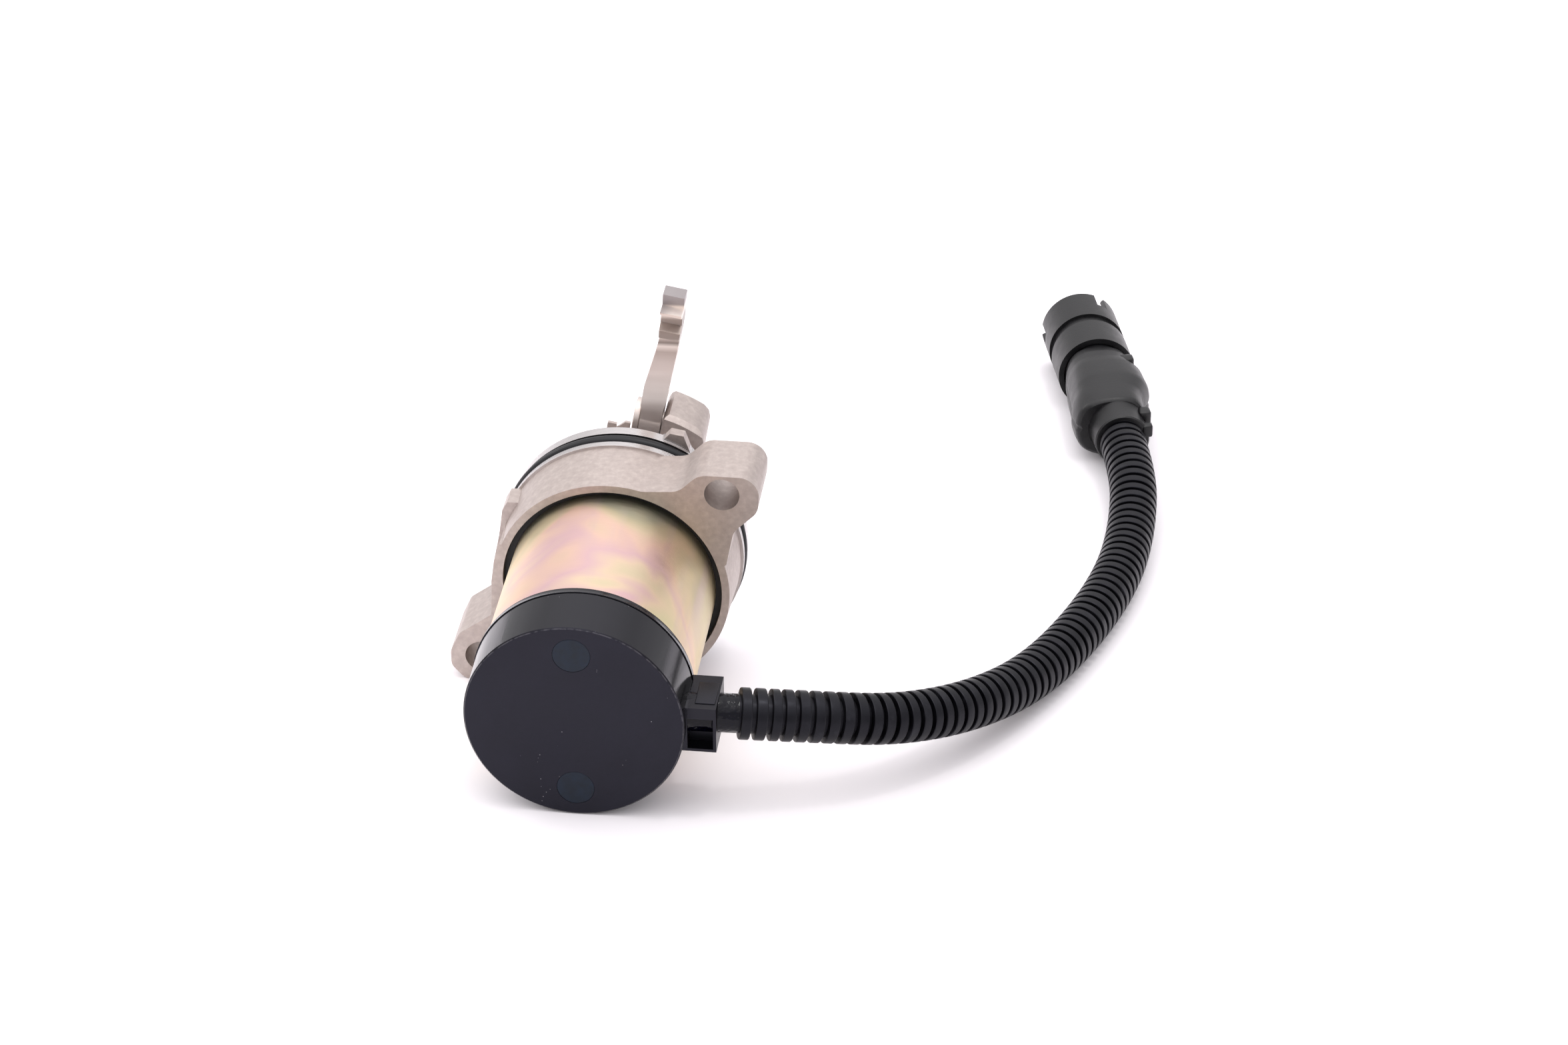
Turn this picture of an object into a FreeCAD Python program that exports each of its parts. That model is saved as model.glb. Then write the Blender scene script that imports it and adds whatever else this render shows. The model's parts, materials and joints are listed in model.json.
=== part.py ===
import FreeCAD, Part
import math
import os
import re
import Sketcher

# Fuel shutoff solenoid: a round coil can with a moulded end cap, a cast two-ear housing with an
# O-ring spigot, a lever that the plunger swings, and a corrugated loom with a round connector.
#
# Every piece but the loom and its connector is drawn in the axis frame: X to the right as seen
# from the end cap, Y along the solenoid from the cap's face, called the station, and Z upwards.
# The mechanism frame is the axis frame turned about Y, because the lever stands off vertical.
# Rest then lays the whole on the surface, on the cap's rim, the O-ring and the lower ear.
# The loom and the connector are drawn where they lie, with Z up from the surface.

V = FreeCAD.Vector
SHEET = "Dims"

# Driving sizes in millimetres and degrees
SIZES = {
    # End cap, with the block that the cable leaves by
    "cap_radius": 27.5,
    "cap_rim_radius": 27.75,
    "cap_length": 17.9,
    "cap_edge": 0.5,
    "cap_face": 3.0,
    "cap_side_wall": 4.0,
    "cap_lip_length": 3.0,
    "cap_lip_wall": 3.0,
    "plug_radius": 4.7,
    "plug_offset": 19.5,
    "outlet_reach": 34.9,
    "outlet_start": 3.0,
    "outlet_top": 4.35,
    "outlet_bottom": -8.3,
    "outlet_recess_depth": 4.0,
    "outlet_recess_top": 1.2,
    "outlet_recess_wall": 0.8,
    # Can
    "can_radius": 26.6,
    "can_wall": 1.6,
    "can_end": 82.0,
    # Magnet: pole plates, core, guide tube, bobbin and coil
    "rear_plate_thickness": 4.0,
    "front_plate_start": 74.05,
    "front_plate_thickness": 5.95,
    "core_radius": 9.2,
    "core_neck_radius": 7.0,
    "core_end": 46.0,
    "guide_wall": 0.6,
    "bobbin_bore_radius": 10.0,
    "bobbin_tube_wall": 1.4,
    "bobbin_flange_radius": 24.6,
    "bobbin_flange": 2.2,
    "coil_radius": 22.8,
    "wrap_thickness": 0.5,
    "terminal_spacing": 9.0,
    "terminal_radius": 0.9,
    "terminal_height": 16.0,
    "terminal_start": 13.0,
    "wire_radius": 1.1,
    # Plunger, spring, rod and clevis
    "stroke": 9.0,
    "plunger_radius": 9.2,
    "plunger_length": 24.2,
    "spring_pocket_radius": 5.0,
    "spring_pocket_depth": 8.0,
    "spring_wire": 0.9,
    "spring_radius": 4.0,
    "spring_turns": 8.0,
    "rod_radius": 3.0,
    "rod_socket_depth": 13.0,
    "buffer_radius": 9.0,
    "clevis_radius": 6.5,
    "clevis_start": 99.0,
    "clevis_slot_start": 103.8,
    "clevis_nose": 5.4,
    "clevis_slot": 6.6,
    "link_pin_radius": 2.0,
    "link_slot_clearance": 0.25,
    "link_slot_extra": 0.6,
    # Housing: ring, spigot and O-ring
    "flange_back": 62.05,
    "mount_face": 79.95,
    "ring_back_radius": 30.4,
    "ring_front_radius": 31.1,
    "spigot_radius": 31.75,
    "spigot_end": 89.7,
    "spigot_chamfer": 0.5,
    "oring_radius": 32.2,
    "oring_section": 1.4,
    "groove_start": 81.9,
    "groove_end": 86.0,
    "seal_pocket_radius": 28.4,
    "seal_pocket_depth": 6.0,
    "seal_setback": 2.0,
    "bush_radius": 6.0,
    "rod_seal_length": 2.6,
    "bolt_hole_radius": 4.5,
    # Upper ear, seen from the cap
    "ear_a_hole_x": 28.74,
    "ear_a_hole_z": 29.72,
    "ear_a_top": 35.1,
    "ear_a_right": 38.3,
    "ear_a_left_foot": 17.6,
    "ear_a_left_foot_z": 29.9,
    "ear_a_right_foot": 31.6,
    "ear_a_right_foot_z": 18.9,
    "ear_a_corner": 4.0,
    "ear_a_round": 5.0,
    "ear_a_hollow": 5.0,
    # Lower ear, whose lowest edge touches the surface
    "ear_b_hole_x": -34.7,
    "ear_b_hole_z": -23.8,
    "ear_b_bottom": -30.95,
    "ear_b_left": -43.0,
    "ear_b_foot": -31.9,
    "ear_b_foot_z": -10.7,
    "ear_b_corner": 4.0,
    # Bulge on the ring's left side, above the lower ear
    "bulge_back": 73.0,
    "bulge_left": -33.7,
    "bulge_top": 17.0,
    # Lever pivot and the lug on the housing that carries it
    "mech_turn": 10.0,
    "pivot_station": 105.0,
    "pivot_height": 25.84,
    "pivot_pin_radius": 2.5,
    "pivot_head_radius": 5.0,
    "pivot_head": 1.7,
    "pivot_pin_depth": 9.5,
    "lug_width": 11.5,
    "lug_bottom": 8.2,
    "lug_back": 98.5,
    "lug_front": 112.0,
    "lug_bevel": 1.2,
    "lug_round": 2.4,
    "lug_shoulder": 26.0,
    "lug_neck_radius": 26.0,
    "post_left": -10.8,
    "post_right": -8.4,
    "post_front": 99.5,
    "post_top": 26.0,
    "web_right": -4.9,
    "web_front": 99.4,
    "web_top": 27.1,
    "web_notch": 2.1,
    # Lever
    "lever_left": -2.9,
    "lever_right": 2.75,
    "barrel_radius": 5.2,
    "arm_top": 64.2,
    "tip_back": 103.2,
    "tip_front": 108.2,
    "ledge_height": 61.3,
    "ledge_back": 98.9,
    "notch_top": 60.6,
    "notch_bottom": 56.0,
    "notch_depth": 2.6,
    "heel_bottom": 53.9,
    "arm_back": 101.1,
    "arm_front_low": 109.6,
    "arm_foot": 32.0,
    "arm_swell": 0.35,
    "arm_bow": 1.3,
    "arm_bow_right": 0.85,
    "link_end_radius": 4.4,
    # Cable sleeve
    "sleeve_radius": 4.9,
    "sleeve_bore": 3.6,
    "sleeve_start": 22.0,
    "sleeve_height": 0.4,
    "sleeve_station": 7.5,
    "sleeve_length": 17.6,
    "sleeve_swing": 12.0,
    "sleeve_dip": 7.0,
    "wire_end_gap": 1.5,
    # Loom and connector, drawn where they lie
    "loom_radius": 6.5,
    "plug_heading": 13.5,
    "plug_axis_height": 11.1,
    "hood_length": 26.0,
    "hood_rear_radius": 9.4,
    "hood_front_radius": 10.4,
    "hood_taper": 6.0,
    "hood_wall": 1.6,
    "hood_tab_width": 6.0,
    "hood_tab_reach": 1.6,
    "plug_body_radius": 9.2,
    "plug_body_wall": 1.5,
    "plug_body_start": 22.0,
    "plug_body_length": 35.0,
    "plug_collar_radius": 9.8,
    "plug_collar_length": 3.0,
    "ring_radius": 11.1,
    "ring_start": 34.0,
    "ring_length": 31.0,
    "ring_band": 12.5,
    "ring_groove": 4.0,
    "ring_groove_depth": 0.9,
    "ring_slot": 3.2,
    "ring_slot_length": 7.0,
    "insert_radius": 6.4,
    "insert_length": 22.0,
    "contact_radius": 1.5,
    "contact_spacing": 5.6,
    "contact_length": 26.0,
    "face_seal_width": 1.2,
    # Clearances
    "fit_clearance": 0.02,
    "running_clearance": 0.06,
    "sliding_clearance": 0.3,
    "lever_clearance": 0.4,
}

# The loom's route where it lies, from the cable sleeve to the connector, chosen by hand
LOOM_ROUTE = [
    (41.49, -45.56, 26.32),
    (61.37, -41.2, 24.06),
    (79.56, -30.91, 18.5),
    (96.45, -12.48, 12.7),
    (110.24, 11.89, 7.7),
    (121.24, 39.8, 6.7),
    (129.0, 69.5, 6.6),
    (131.4, 95.5, 7.6),
    (130.307, 122.9, 11.1),
    (124.0, 149.17, 11.1),
]


def make_sheet(doc):
    sheet = doc.addObject("Spreadsheet::Sheet", SHEET)
    for row, (alias, value) in enumerate(SIZES.items(), start=1):
        sheet.set("A%d" % row, alias.replace("_", " "))
        sheet.set("B%d" % row, "%g" % value)
        sheet.setAlias("B%d" % row, alias)
    doc.recompute()
    return sheet


def size(doc, alias):
    return float(doc.getObject(SHEET).get(alias))


def in_sheet(text):
    """Name the sheet before each alias in an expression."""
    return re.sub(r"[a-z]\w*", lambda word: SHEET + "." + word.group()
                  if word.group() in SIZES else word.group(), text)


def bind(item, prop, text):
    item.setExpression(prop, in_sheet(text))


# Sketches and features

def new_body(doc, label, frame="Rest.Placement"):
    body = doc.addObject("PartDesign::Body", label)
    body.Label = label
    body.setExpression("Placement", frame)
    return body


def sketch_on(body, role, start="0", turn="0", lean="0"):
    """A sketch on an origin plane, moved along the plane's normal and turned."""
    sketch = body.newObject("Sketcher::SketchObject", body.Name + "_sketch")
    plane = [item for item in body.Origin.OriginFeatures if item.Role == role][0]
    sketch.AttachmentSupport = [(plane, "")]
    sketch.MapMode = "FlatFace"
    bind(sketch, "AttachmentOffset",
         "placement(vector(0; 0; 0); rotation(vector(0; 0; 1); %s))"
         " * placement(vector(0; 0; 0); rotation(vector(1; 0; 0); %s))"
         " * placement(vector(0; 0; %s); rotation(vector(0; 0; 1); 0))" % (turn, lean, start))
    return sketch


def pin_point(sketch, index, place, across, up):
    """Fix one point of the sketch at bound distances from its origin."""
    for kind, text in (("DistanceX", across), ("DistanceY", up)):
        row = sketch.addConstraint(Sketcher.Constraint(kind, -1, 1, index, place, 1.0))
        bind(sketch, "Constraints[%d]" % row, text)


def outline(sketch, corners):
    """A closed outline of straight edges through bound corners."""
    first = sketch.GeometryCount
    count = len(corners)
    for step in range(count):
        angle = 2 * math.pi * step / count
        after = 2 * math.pi * (step + 1) / count
        sketch.addGeometry(Part.LineSegment(V(9 * math.cos(angle), 9 * math.sin(angle), 0),
                                            V(9 * math.cos(after), 9 * math.sin(after), 0)))
    for step in range(count):
        sketch.addConstraint(Sketcher.Constraint("Coincident", first + step, 2,
                                                 first + (step + 1) % count, 1))
    for step, (across, up) in enumerate(corners):
        pin_point(sketch, first + step, 1, across, up)


def circle(sketch, radius, across="0", up="0"):
    index = sketch.addGeometry(Part.Circle(V(0, 0, 0), V(0, 0, 1), 1.0))
    pin_point(sketch, index, 3, across, up)
    row = sketch.addConstraint(Sketcher.Constraint("Radius", index, 1.0))
    bind(sketch, "Constraints[%d]" % row, radius)


def revolve(body, corners, cut=False):
    """Turn an outline of (radius, station) corners about the piece's axis."""
    sketch = sketch_on(body, "XY_Plane")
    outline(sketch, corners)
    kind = "PartDesign::Groove" if cut else "PartDesign::Revolution"
    feature = body.newObject(kind, body.Name + "_turn")
    feature.Profile = sketch
    feature.ReferenceAxis = (sketch, ["V_Axis"])
    feature.Angle = 360
    sketch.Visibility = False
    return feature


def turned(doc, label, corners, frame="Rest.Placement"):
    body = new_body(doc, label, frame)
    revolve(body, corners)
    return body


def extrude(body, role, draw, start, length, cut=False, turn="0", lean="0", both=False):
    """Pad or pocket what draw puts on the sketch, over a length from a start along the axis."""
    backward = role == "XZ_Plane"
    offset = "-(%s)" % start if backward else start
    sketch = sketch_on(body, role, offset, turn, lean)
    draw(sketch)
    kind = "PartDesign::Pocket" if cut else "PartDesign::Pad"
    feature = body.newObject(kind, body.Name + ("_cut" if cut else "_pad"))
    feature.Profile = sketch
    bind(feature, "Length", length)
    feature.Midplane = both
    feature.Reversed = backward != cut and not both
    sketch.Visibility = False
    return feature


def ring(doc, label, inner, outer, start, end, frame="Rest.Placement"):
    """A plain turned ring between two radii and two stations."""
    return turned(doc, label, [(inner, start), (outer, start), (outer, end), (inner, end)], frame)


def upright_edges(shape, points):
    """Names of the edges along Y that stand at one of the given (x, z) points."""
    names = []
    for number, edge in enumerate(shape.Edges, start=1):
        ends = [vertex.Point for vertex in edge.Vertexes]
        if len(ends) != 2 or abs(ends[0].x - ends[1].x) > 1e-4 or abs(ends[0].z - ends[1].z) > 1e-4:
            continue
        if any(math.hypot(ends[0].x - x, ends[0].z - z) < 0.05 for x, z in points):
            names.append("Edge%d" % number)
    return names


def round_edges(doc, body, points, radius):
    doc.recompute()
    base = body.Tip
    names = upright_edges(base.Shape, points)
    if len(names) < len(points):
        raise RuntimeError("%s: %d of %d edges to round" % (body.Label, len(names), len(points)))
    feature = body.newObject("PartDesign::Fillet", body.Name + "_round")
    feature.Base = (base, names)
    bind(feature, "Radius", radius)
    body.Tip = feature
    return feature


# End cap and can

def end_cap(doc):
    body = new_body(doc, "end_cap")
    lip_end = "cap_length + cap_lip_length"
    lip_radius = "can_radius - can_wall - fit_clearance"
    cavity = "cap_radius - cap_side_wall"
    revolve(body, [
        ("0", "0"), ("cap_radius - cap_edge", "0"), ("cap_radius", "cap_edge"),
        ("cap_rim_radius", "cap_length"), (lip_radius, "cap_length"), (lip_radius, lip_end),
        (lip_radius + " - cap_lip_wall", lip_end), (lip_radius + " - cap_lip_wall", "cap_length"),
        (cavity, "cap_length - cap_face"), (cavity, "cap_face"), ("0", "cap_face")])
    inner = cavity + " + 0.5"
    extrude(body, "XZ_Plane", lambda sketch: outline(sketch, [
        (inner, "outlet_bottom"), ("outlet_reach", "outlet_bottom"),
        ("outlet_reach", "outlet_top"), (inner, "outlet_top")]),
        "outlet_start", "cap_length - outlet_start")
    recess_floor = "outlet_bottom + outlet_recess_wall"
    extrude(body, "XZ_Plane", lambda sketch: outline(sketch, [
        ("cap_rim_radius", recess_floor), ("outlet_reach - outlet_recess_wall", recess_floor),
        ("outlet_reach - outlet_recess_wall", "outlet_recess_top"),
        ("cap_rim_radius", "outlet_recess_top")]),
        "outlet_start", "outlet_recess_depth", cut=True)
    for side in ("", "-"):
        extrude(body, "XZ_Plane", lambda sketch: circle(
            sketch, "plug_radius + fit_clearance", "0", side + "plug_offset"),
            "-1", "cap_face + 2", cut=True)
    bore = doc.addObject("Part::Cylinder", "outlet_bore")
    bind(bore, "Radius", "sleeve_radius + fit_clearance")
    bind(bore, "Height", "sleeve_length")
    bind(bore, "Placement", SLEEVE_AXIS)
    cap = doc.addObject("Part::Cut", "end_cap_drilled")
    body.setExpression("Placement", None)
    body.Label = "end_cap_blank"
    cap.Base = body
    cap.Tool = bore
    cap.Label = "end_cap"
    cap.setExpression("Placement", "Rest.Placement")
    return cap


# Where the cable sleeve runs: its start on the outlet side and its slant towards the loom
SLEEVE_AXIS = ("placement(vector(sleeve_start; sleeve_station; sleeve_height); "
               "rotation(vector(0; 0; 1); sleeve_swing))"
               " * placement(vector(0; 0; 0); rotation(vector(0; 1; 0); 90 + sleeve_dip))")


def cap_plug(doc, label, height):
    body = new_body(doc, label)
    extrude(body, "XZ_Plane", lambda sketch: circle(sketch, "plug_radius", "0", height),
            "0", "cap_face")
    return body


def solenoid_can(doc):
    return ring(doc, "solenoid_can", "can_radius - can_wall", "can_radius", "cap_length", "can_end")


def can_seal(doc):
    start = "flange_back + seal_setback"
    return ring(doc, "can_seal", "can_radius + fit_clearance", "seal_pocket_radius - fit_clearance",
                start, "flange_back + seal_pocket_depth")


# Magnet

PLATE_START = "cap_length + cap_lip_length"
PLATE_END = PLATE_START + " + rear_plate_thickness"
PLATE_RADIUS = "can_radius - can_wall - fit_clearance"
GUIDE_RADIUS = "plunger_radius + running_clearance + guide_wall"
COIL_START = PLATE_END + " + bobbin_flange"
COIL_END = "front_plate_start - bobbin_flange"
WALL_END = "front_plate_start + front_plate_thickness"


def rear_pole_plate(doc):
    plate = new_body(doc, "rear_pole_plate")
    revolve(plate, [("core_neck_radius + fit_clearance", PLATE_START), (PLATE_RADIUS, PLATE_START),
                    (PLATE_RADIUS, PLATE_END), ("core_neck_radius + fit_clearance", PLATE_END)])
    for side in ("-", ""):
        extrude(plate, "XZ_Plane", lambda sketch: circle(
            sketch, "terminal_radius + sliding_clearance", side + "terminal_spacing / 2",
            "terminal_height"), PLATE_START + " - 1", "rear_plate_thickness + 2", cut=True)
    return plate


def fixed_core(doc):
    pocket = "core_end - spring_pocket_depth"
    return turned(doc, "fixed_core", [
        ("0", PLATE_START), ("core_neck_radius", PLATE_START), ("core_neck_radius", PLATE_END),
        ("core_radius", PLATE_END), ("core_radius", "core_end"),
        ("spring_pocket_radius", "core_end"), ("spring_pocket_radius", pocket), ("0", pocket)])


def guide_tube(doc):
    inner = "plunger_radius + running_clearance"
    return ring(doc, "guide_tube", inner, GUIDE_RADIUS, PLATE_END, WALL_END)


def coil_bobbin(doc):
    bobbin = new_body(doc, "coil_bobbin")
    tube = "bobbin_bore_radius + bobbin_tube_wall"
    revolve(bobbin, [
        ("bobbin_bore_radius", PLATE_END), ("bobbin_flange_radius", PLATE_END),
        ("bobbin_flange_radius", COIL_START), (tube, COIL_START), (tube, COIL_END),
        ("bobbin_flange_radius", COIL_END), ("bobbin_flange_radius", "front_plate_start"),
        ("bobbin_bore_radius", "front_plate_start")])
    for side in ("-", ""):
        extrude(bobbin, "XZ_Plane", lambda sketch: circle(
            sketch, "terminal_radius + fit_clearance", side + "terminal_spacing / 2",
            "terminal_height"), PLATE_END, "bobbin_flange", cut=True)
    return bobbin


def coil_winding(doc):
    inner = "bobbin_bore_radius + bobbin_tube_wall + fit_clearance"
    return ring(doc, "coil_winding", inner, "coil_radius", COIL_START, COIL_END)


def coil_wrap(doc):
    inner = "coil_radius + fit_clearance"
    return ring(doc, "coil_wrap", inner, inner + " + wrap_thickness", COIL_START, COIL_END)


def front_pole_plate(doc):
    return ring(doc, "front_pole_plate", GUIDE_RADIUS + " + fit_clearance", PLATE_RADIUS,
                "front_plate_start", WALL_END)


def coil_terminal(doc, label, side):
    body = new_body(doc, label)
    extrude(body, "XZ_Plane", lambda sketch: circle(
        sketch, "terminal_radius", side + "terminal_spacing / 2", "terminal_height"),
        "terminal_start", COIL_START + " - terminal_start")
    return body


# Plunger and what it carries

PLUNGER_BACK = "core_end + stroke + sliding_clearance"
PLUNGER_FRONT = PLUNGER_BACK + " + plunger_length"
LINK_REACH = "pivot_station + stroke / 2"


def plunger(doc):
    pocket = PLUNGER_BACK + " + spring_pocket_depth"
    socket = PLUNGER_FRONT + " - rod_socket_depth"
    bore = "rod_radius + fit_clearance"
    body = turned(doc, "plunger", [
        ("0", pocket), ("spring_pocket_radius", pocket), ("spring_pocket_radius", PLUNGER_BACK),
        ("plunger_radius", PLUNGER_BACK), ("plunger_radius", PLUNGER_FRONT), (bore, PLUNGER_FRONT),
        (bore, socket), ("0", socket)])
    return body


def return_spring(doc):
    """The plunger's compression spring, seated in the pockets of the core and the plunger."""
    wire = size(doc, "spring_wire")
    length = (size(doc, "stroke") + size(doc, "sliding_clearance")
              + 2 * size(doc, "spring_pocket_depth") - wire)
    helix = Part.makeHelix(length / size(doc, "spring_turns"), length, size(doc, "spring_radius"))
    section = Part.Wire(Part.makeCircle(wire / 2, V(size(doc, "spring_radius"), 0, 0), V(0, 1, 0)))
    spring = doc.addObject("Part::Feature", "return_spring")
    spring.Label = "return_spring"
    spring.Shape = Part.Wire(helix.Edges).makePipeShell([section], True, True)
    bind(spring, "Placement", "Rest.Placement * placement(vector(0; core_end - spring_pocket_depth"
         " + spring_wire / 2; 0); rotation(vector(1; 0; 0); -90))")
    return spring


def push_rod(doc):
    start = PLUNGER_FRONT + " - rod_socket_depth"
    end = "clevis_start + 3"
    return turned(doc, "push_rod", [("0", start), ("rod_radius", start), ("rod_radius", end), ("0", end)])


def rod_clevis(doc):
    body = new_body(doc, "rod_clevis", MECHANISM)
    tip = LINK_REACH + " + clevis_nose"
    bore = "rod_radius + fit_clearance"
    revolve(body, [
        (bore, "clevis_start"), ("clevis_radius", "clevis_start"), ("clevis_radius", tip),
        ("0", tip), ("0", "clevis_start + 3"), (bore, "clevis_start + 3")])
    extrude(body, "XZ_Plane", lambda sketch: outline(sketch, [
        ("-clevis_slot / 2", "-clevis_radius - 1"), ("clevis_slot / 2", "-clevis_radius - 1"),
        ("clevis_slot / 2", "clevis_radius + 1"), ("-clevis_slot / 2", "clevis_radius + 1")]),
        "clevis_slot_start", tip + " - clevis_slot_start + 1", cut=True)
    extrude(body, "YZ_Plane", lambda sketch: circle(
        sketch, "link_pin_radius + fit_clearance", LINK_REACH, "0"),
        "0", "2 * clevis_radius + 2", cut=True, both=True)
    return body


def clevis_pin(doc):
    body = new_body(doc, "clevis_pin", MECHANISM)
    extrude(body, "YZ_Plane", lambda sketch: circle(sketch, "link_pin_radius", LINK_REACH, "0"),
            "0", "2 * sqrt(clevis_radius * clevis_radius - link_pin_radius * link_pin_radius)",
            both=True)
    return body


def buffer_ring(doc):
    start = PLUNGER_FRONT + " + sliding_clearance"
    return ring(doc, "buffer_ring", "rod_radius + sliding_clearance", "buffer_radius", start, "can_end")


# Cast housing with its two ears, spigot and pivot lug

def ear_a_corners():
    corner = "ear_a_corner"
    return [
        ("0", "20"), ("0", "ring_back_radius - 1"), ("9", "ear_a_left_foot_z - 0.6"),
        ("ear_a_left_foot", "ear_a_left_foot_z"),
        ("ear_a_left_foot + (ear_a_top - ear_a_left_foot_z)", "ear_a_top"),
        ("ear_a_right - 2.4", "ear_a_top"), ("ear_a_right", "ear_a_top - " + corner),
        ("ear_a_right - 0.4", "ear_a_right_foot_z + 6.2"),
        ("ear_a_right_foot", "ear_a_right_foot_z"), ("ring_back_radius - 0.7", "9"), ("20", "0")]


def ear_b_corners():
    return [
        ("-20", "11"), ("-29", "11"), ("-30.6", "5.8"), ("ear_b_foot + 0.5", "-0.5"),
        ("ear_b_foot", "ear_b_foot_z"),
        ("ear_b_left + 2.4", "ear_b_foot_z - 6.4"), ("ear_b_left", "ear_b_foot_z - 11.8"),
        ("ear_b_left", "ear_b_bottom + ear_b_corner"), ("ear_b_left + 3.5", "ear_b_bottom"),
        ("-24", "ear_b_bottom"), ("-14", "-ring_back_radius + 3.5"), ("0", "-20")]


def bulge_corners():
    return [
        ("-20", "bulge_top"), ("bulge_left + 5.1", "bulge_top"), ("bulge_left + 3.7", "bulge_top - 2.6"),
        ("bulge_left + 2.6", "bulge_top - 10.2"), ("bulge_left + 0.9", "-1.3"),
        ("bulge_left", "ear_b_foot_z + 3.1"), ("bulge_left", "ear_b_foot_z - 0.8"),
        ("-20", "ear_b_foot_z - 0.8")]


def flange_housing(doc):
    body = new_body(doc, "flange_housing")
    revolve(body, [
        ("0", "flange_back"), ("ring_back_radius", "flange_back"),
        ("ring_front_radius", "mount_face"), ("0", "mount_face")])
    for corners in (ear_a_corners(), ear_b_corners()):
        extrude(body, "XZ_Plane", lambda sketch: outline(sketch, corners),
                "flange_back", "mount_face - flange_back")
    extrude(body, "XZ_Plane", lambda sketch: outline(sketch, bulge_corners()),
            "bulge_back", "mount_face - bulge_back")
    left = size(doc, "ear_a_left_foot")
    top = size(doc, "ear_a_top")
    right = size(doc, "ear_a_right")
    hollow = [(left, size(doc, "ear_a_left_foot_z")),
              (size(doc, "ear_a_right_foot"), size(doc, "ear_a_right_foot_z"))]
    round_edges(doc, body, hollow, "ear_a_hollow")
    shoulder = [(left + top - size(doc, "ear_a_left_foot_z"), top), (right - 2.4, top),
                (right, top - size(doc, "ear_a_corner")),
                (right - 0.4, size(doc, "ear_a_right_foot_z") + 6.2)]
    round_edges(doc, body, shoulder, "ear_a_round")
    side = size(doc, "ear_b_left")
    foot = size(doc, "ear_b_foot_z")
    low = size(doc, "ear_b_bottom")
    lobe = [(side + 2.4, foot - 6.4), (side, foot - 11.8),
            (side, low + size(doc, "ear_b_corner")), (side + 3.5, low)]
    round_edges(doc, body, lobe, "ear_b_corner - 0.8")
    revolve(body, [
        ("0", "mount_face"), ("spigot_radius", "mount_face"),
        ("spigot_radius", "groove_start"), (GROOVE_FLOOR, "groove_start"),
        (GROOVE_FLOOR, "groove_end"), ("spigot_radius", "groove_end"),
        ("spigot_radius", "spigot_end - spigot_chamfer"),
        ("spigot_radius - spigot_chamfer", "spigot_end"), ("0", "spigot_end")])
    add_pivot_lug(body)
    revolve(body, [
        ("0", "flange_back - 1"), ("seal_pocket_radius", "flange_back - 1"),
        ("seal_pocket_radius", "flange_back + seal_pocket_depth"),
        (CAN_BORE, "flange_back + seal_pocket_depth"), (CAN_BORE, "can_end"),
        ("bush_radius + fit_clearance", "can_end"),
        ("bush_radius + fit_clearance", "spigot_end + 1"), ("0", "spigot_end + 1")], cut=True)
    for ear in ("a", "b"):
        extrude(body, "XZ_Plane", lambda sketch: circle(
            sketch, "bolt_hole_radius", "ear_%s_hole_x" % ear, "ear_%s_hole_z" % ear),
            "flange_back - 1", "mount_face - flange_back + 2", cut=True)
    extrude(body, "YZ_Plane", lambda sketch: circle(
        sketch, "pivot_pin_radius + fit_clearance", "pivot_station", "pivot_height"),
        LUG_LEFT + " - 1", "pivot_pin_depth + 1", cut=True, lean="mech_turn")
    return body


GROOVE_FLOOR = "oring_radius - 2 * oring_section"
CAN_BORE = "can_radius + fit_clearance"
LUG_LEFT = "lever_right + lever_clearance"


def add_pivot_lug(body):
    """The lug that holds the pivot pin, and the low post and web on the other side of the lever."""
    right = LUG_LEFT + " + lug_width"
    blocks = [
        ([(LUG_LEFT, "lug_bottom"), (right, "lug_bottom"), (right, "lug_shoulder"),
          (right + " - 0.3 * lug_round", "lug_shoulder + 0.8 * lug_round"),
          (right + " - lug_round", "lug_shoulder + 1.42 * lug_round"),
          (right + " - 2 * lug_round", "spigot_radius + 2"),
          (LUG_LEFT + " + 1.3 * lug_round", "spigot_radius + 2"),
          (LUG_LEFT + " + 0.8 * lug_round", "spigot_radius + 0.05"),
          (LUG_LEFT + " + 0.25 * lug_round", "spigot_radius - 0.4 * lug_round"),
          (LUG_LEFT, "spigot_radius - lug_round")], "lug_front"),
        ([("post_left", "14"), ("post_right", "14"), ("post_right", "post_top"),
          ("post_left", "post_top")], "post_front"),
        ([("post_right - 0.5", "14"), ("web_right", "14"), ("web_right", "web_top"),
          ("post_right + web_notch", "web_top"), ("post_right + 0.3", "web_top - web_notch"),
          ("post_right - 0.5", "web_top - web_notch")], "web_front")]
    for corners, front in blocks:
        extrude(body, "XZ_Plane", lambda sketch: outline(sketch, corners),
                "spigot_end - 3", front + " - spigot_end + 3", turn="-mech_turn")
    far = "spigot_radius + 14"
    revolve(body, [
        ("lug_neck_radius", "spigot_end"), (far, "spigot_end"), (far, "lug_front + 1"),
        ("spigot_radius", "lug_front + 1"), ("spigot_radius", "lug_back + lug_bevel"),
        ("spigot_radius - lug_bevel", "lug_back"), ("lug_neck_radius", "lug_back")], cut=True)


def spigot_oring(doc):
    """The O-ring in the spigot's groove, a little under its round section where it is seated."""
    body = new_body(doc, "spigot_oring")
    sketch = sketch_on(body, "XY_Plane")
    circle(sketch, "oring_section - fit_clearance", "oring_radius - oring_section",
           "(groove_start + groove_end) / 2")
    feature = body.newObject("PartDesign::Revolution", "spigot_oring_turn")
    feature.Profile = sketch
    feature.ReferenceAxis = (sketch, ["V_Axis"])
    feature.Angle = 360
    return body


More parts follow.
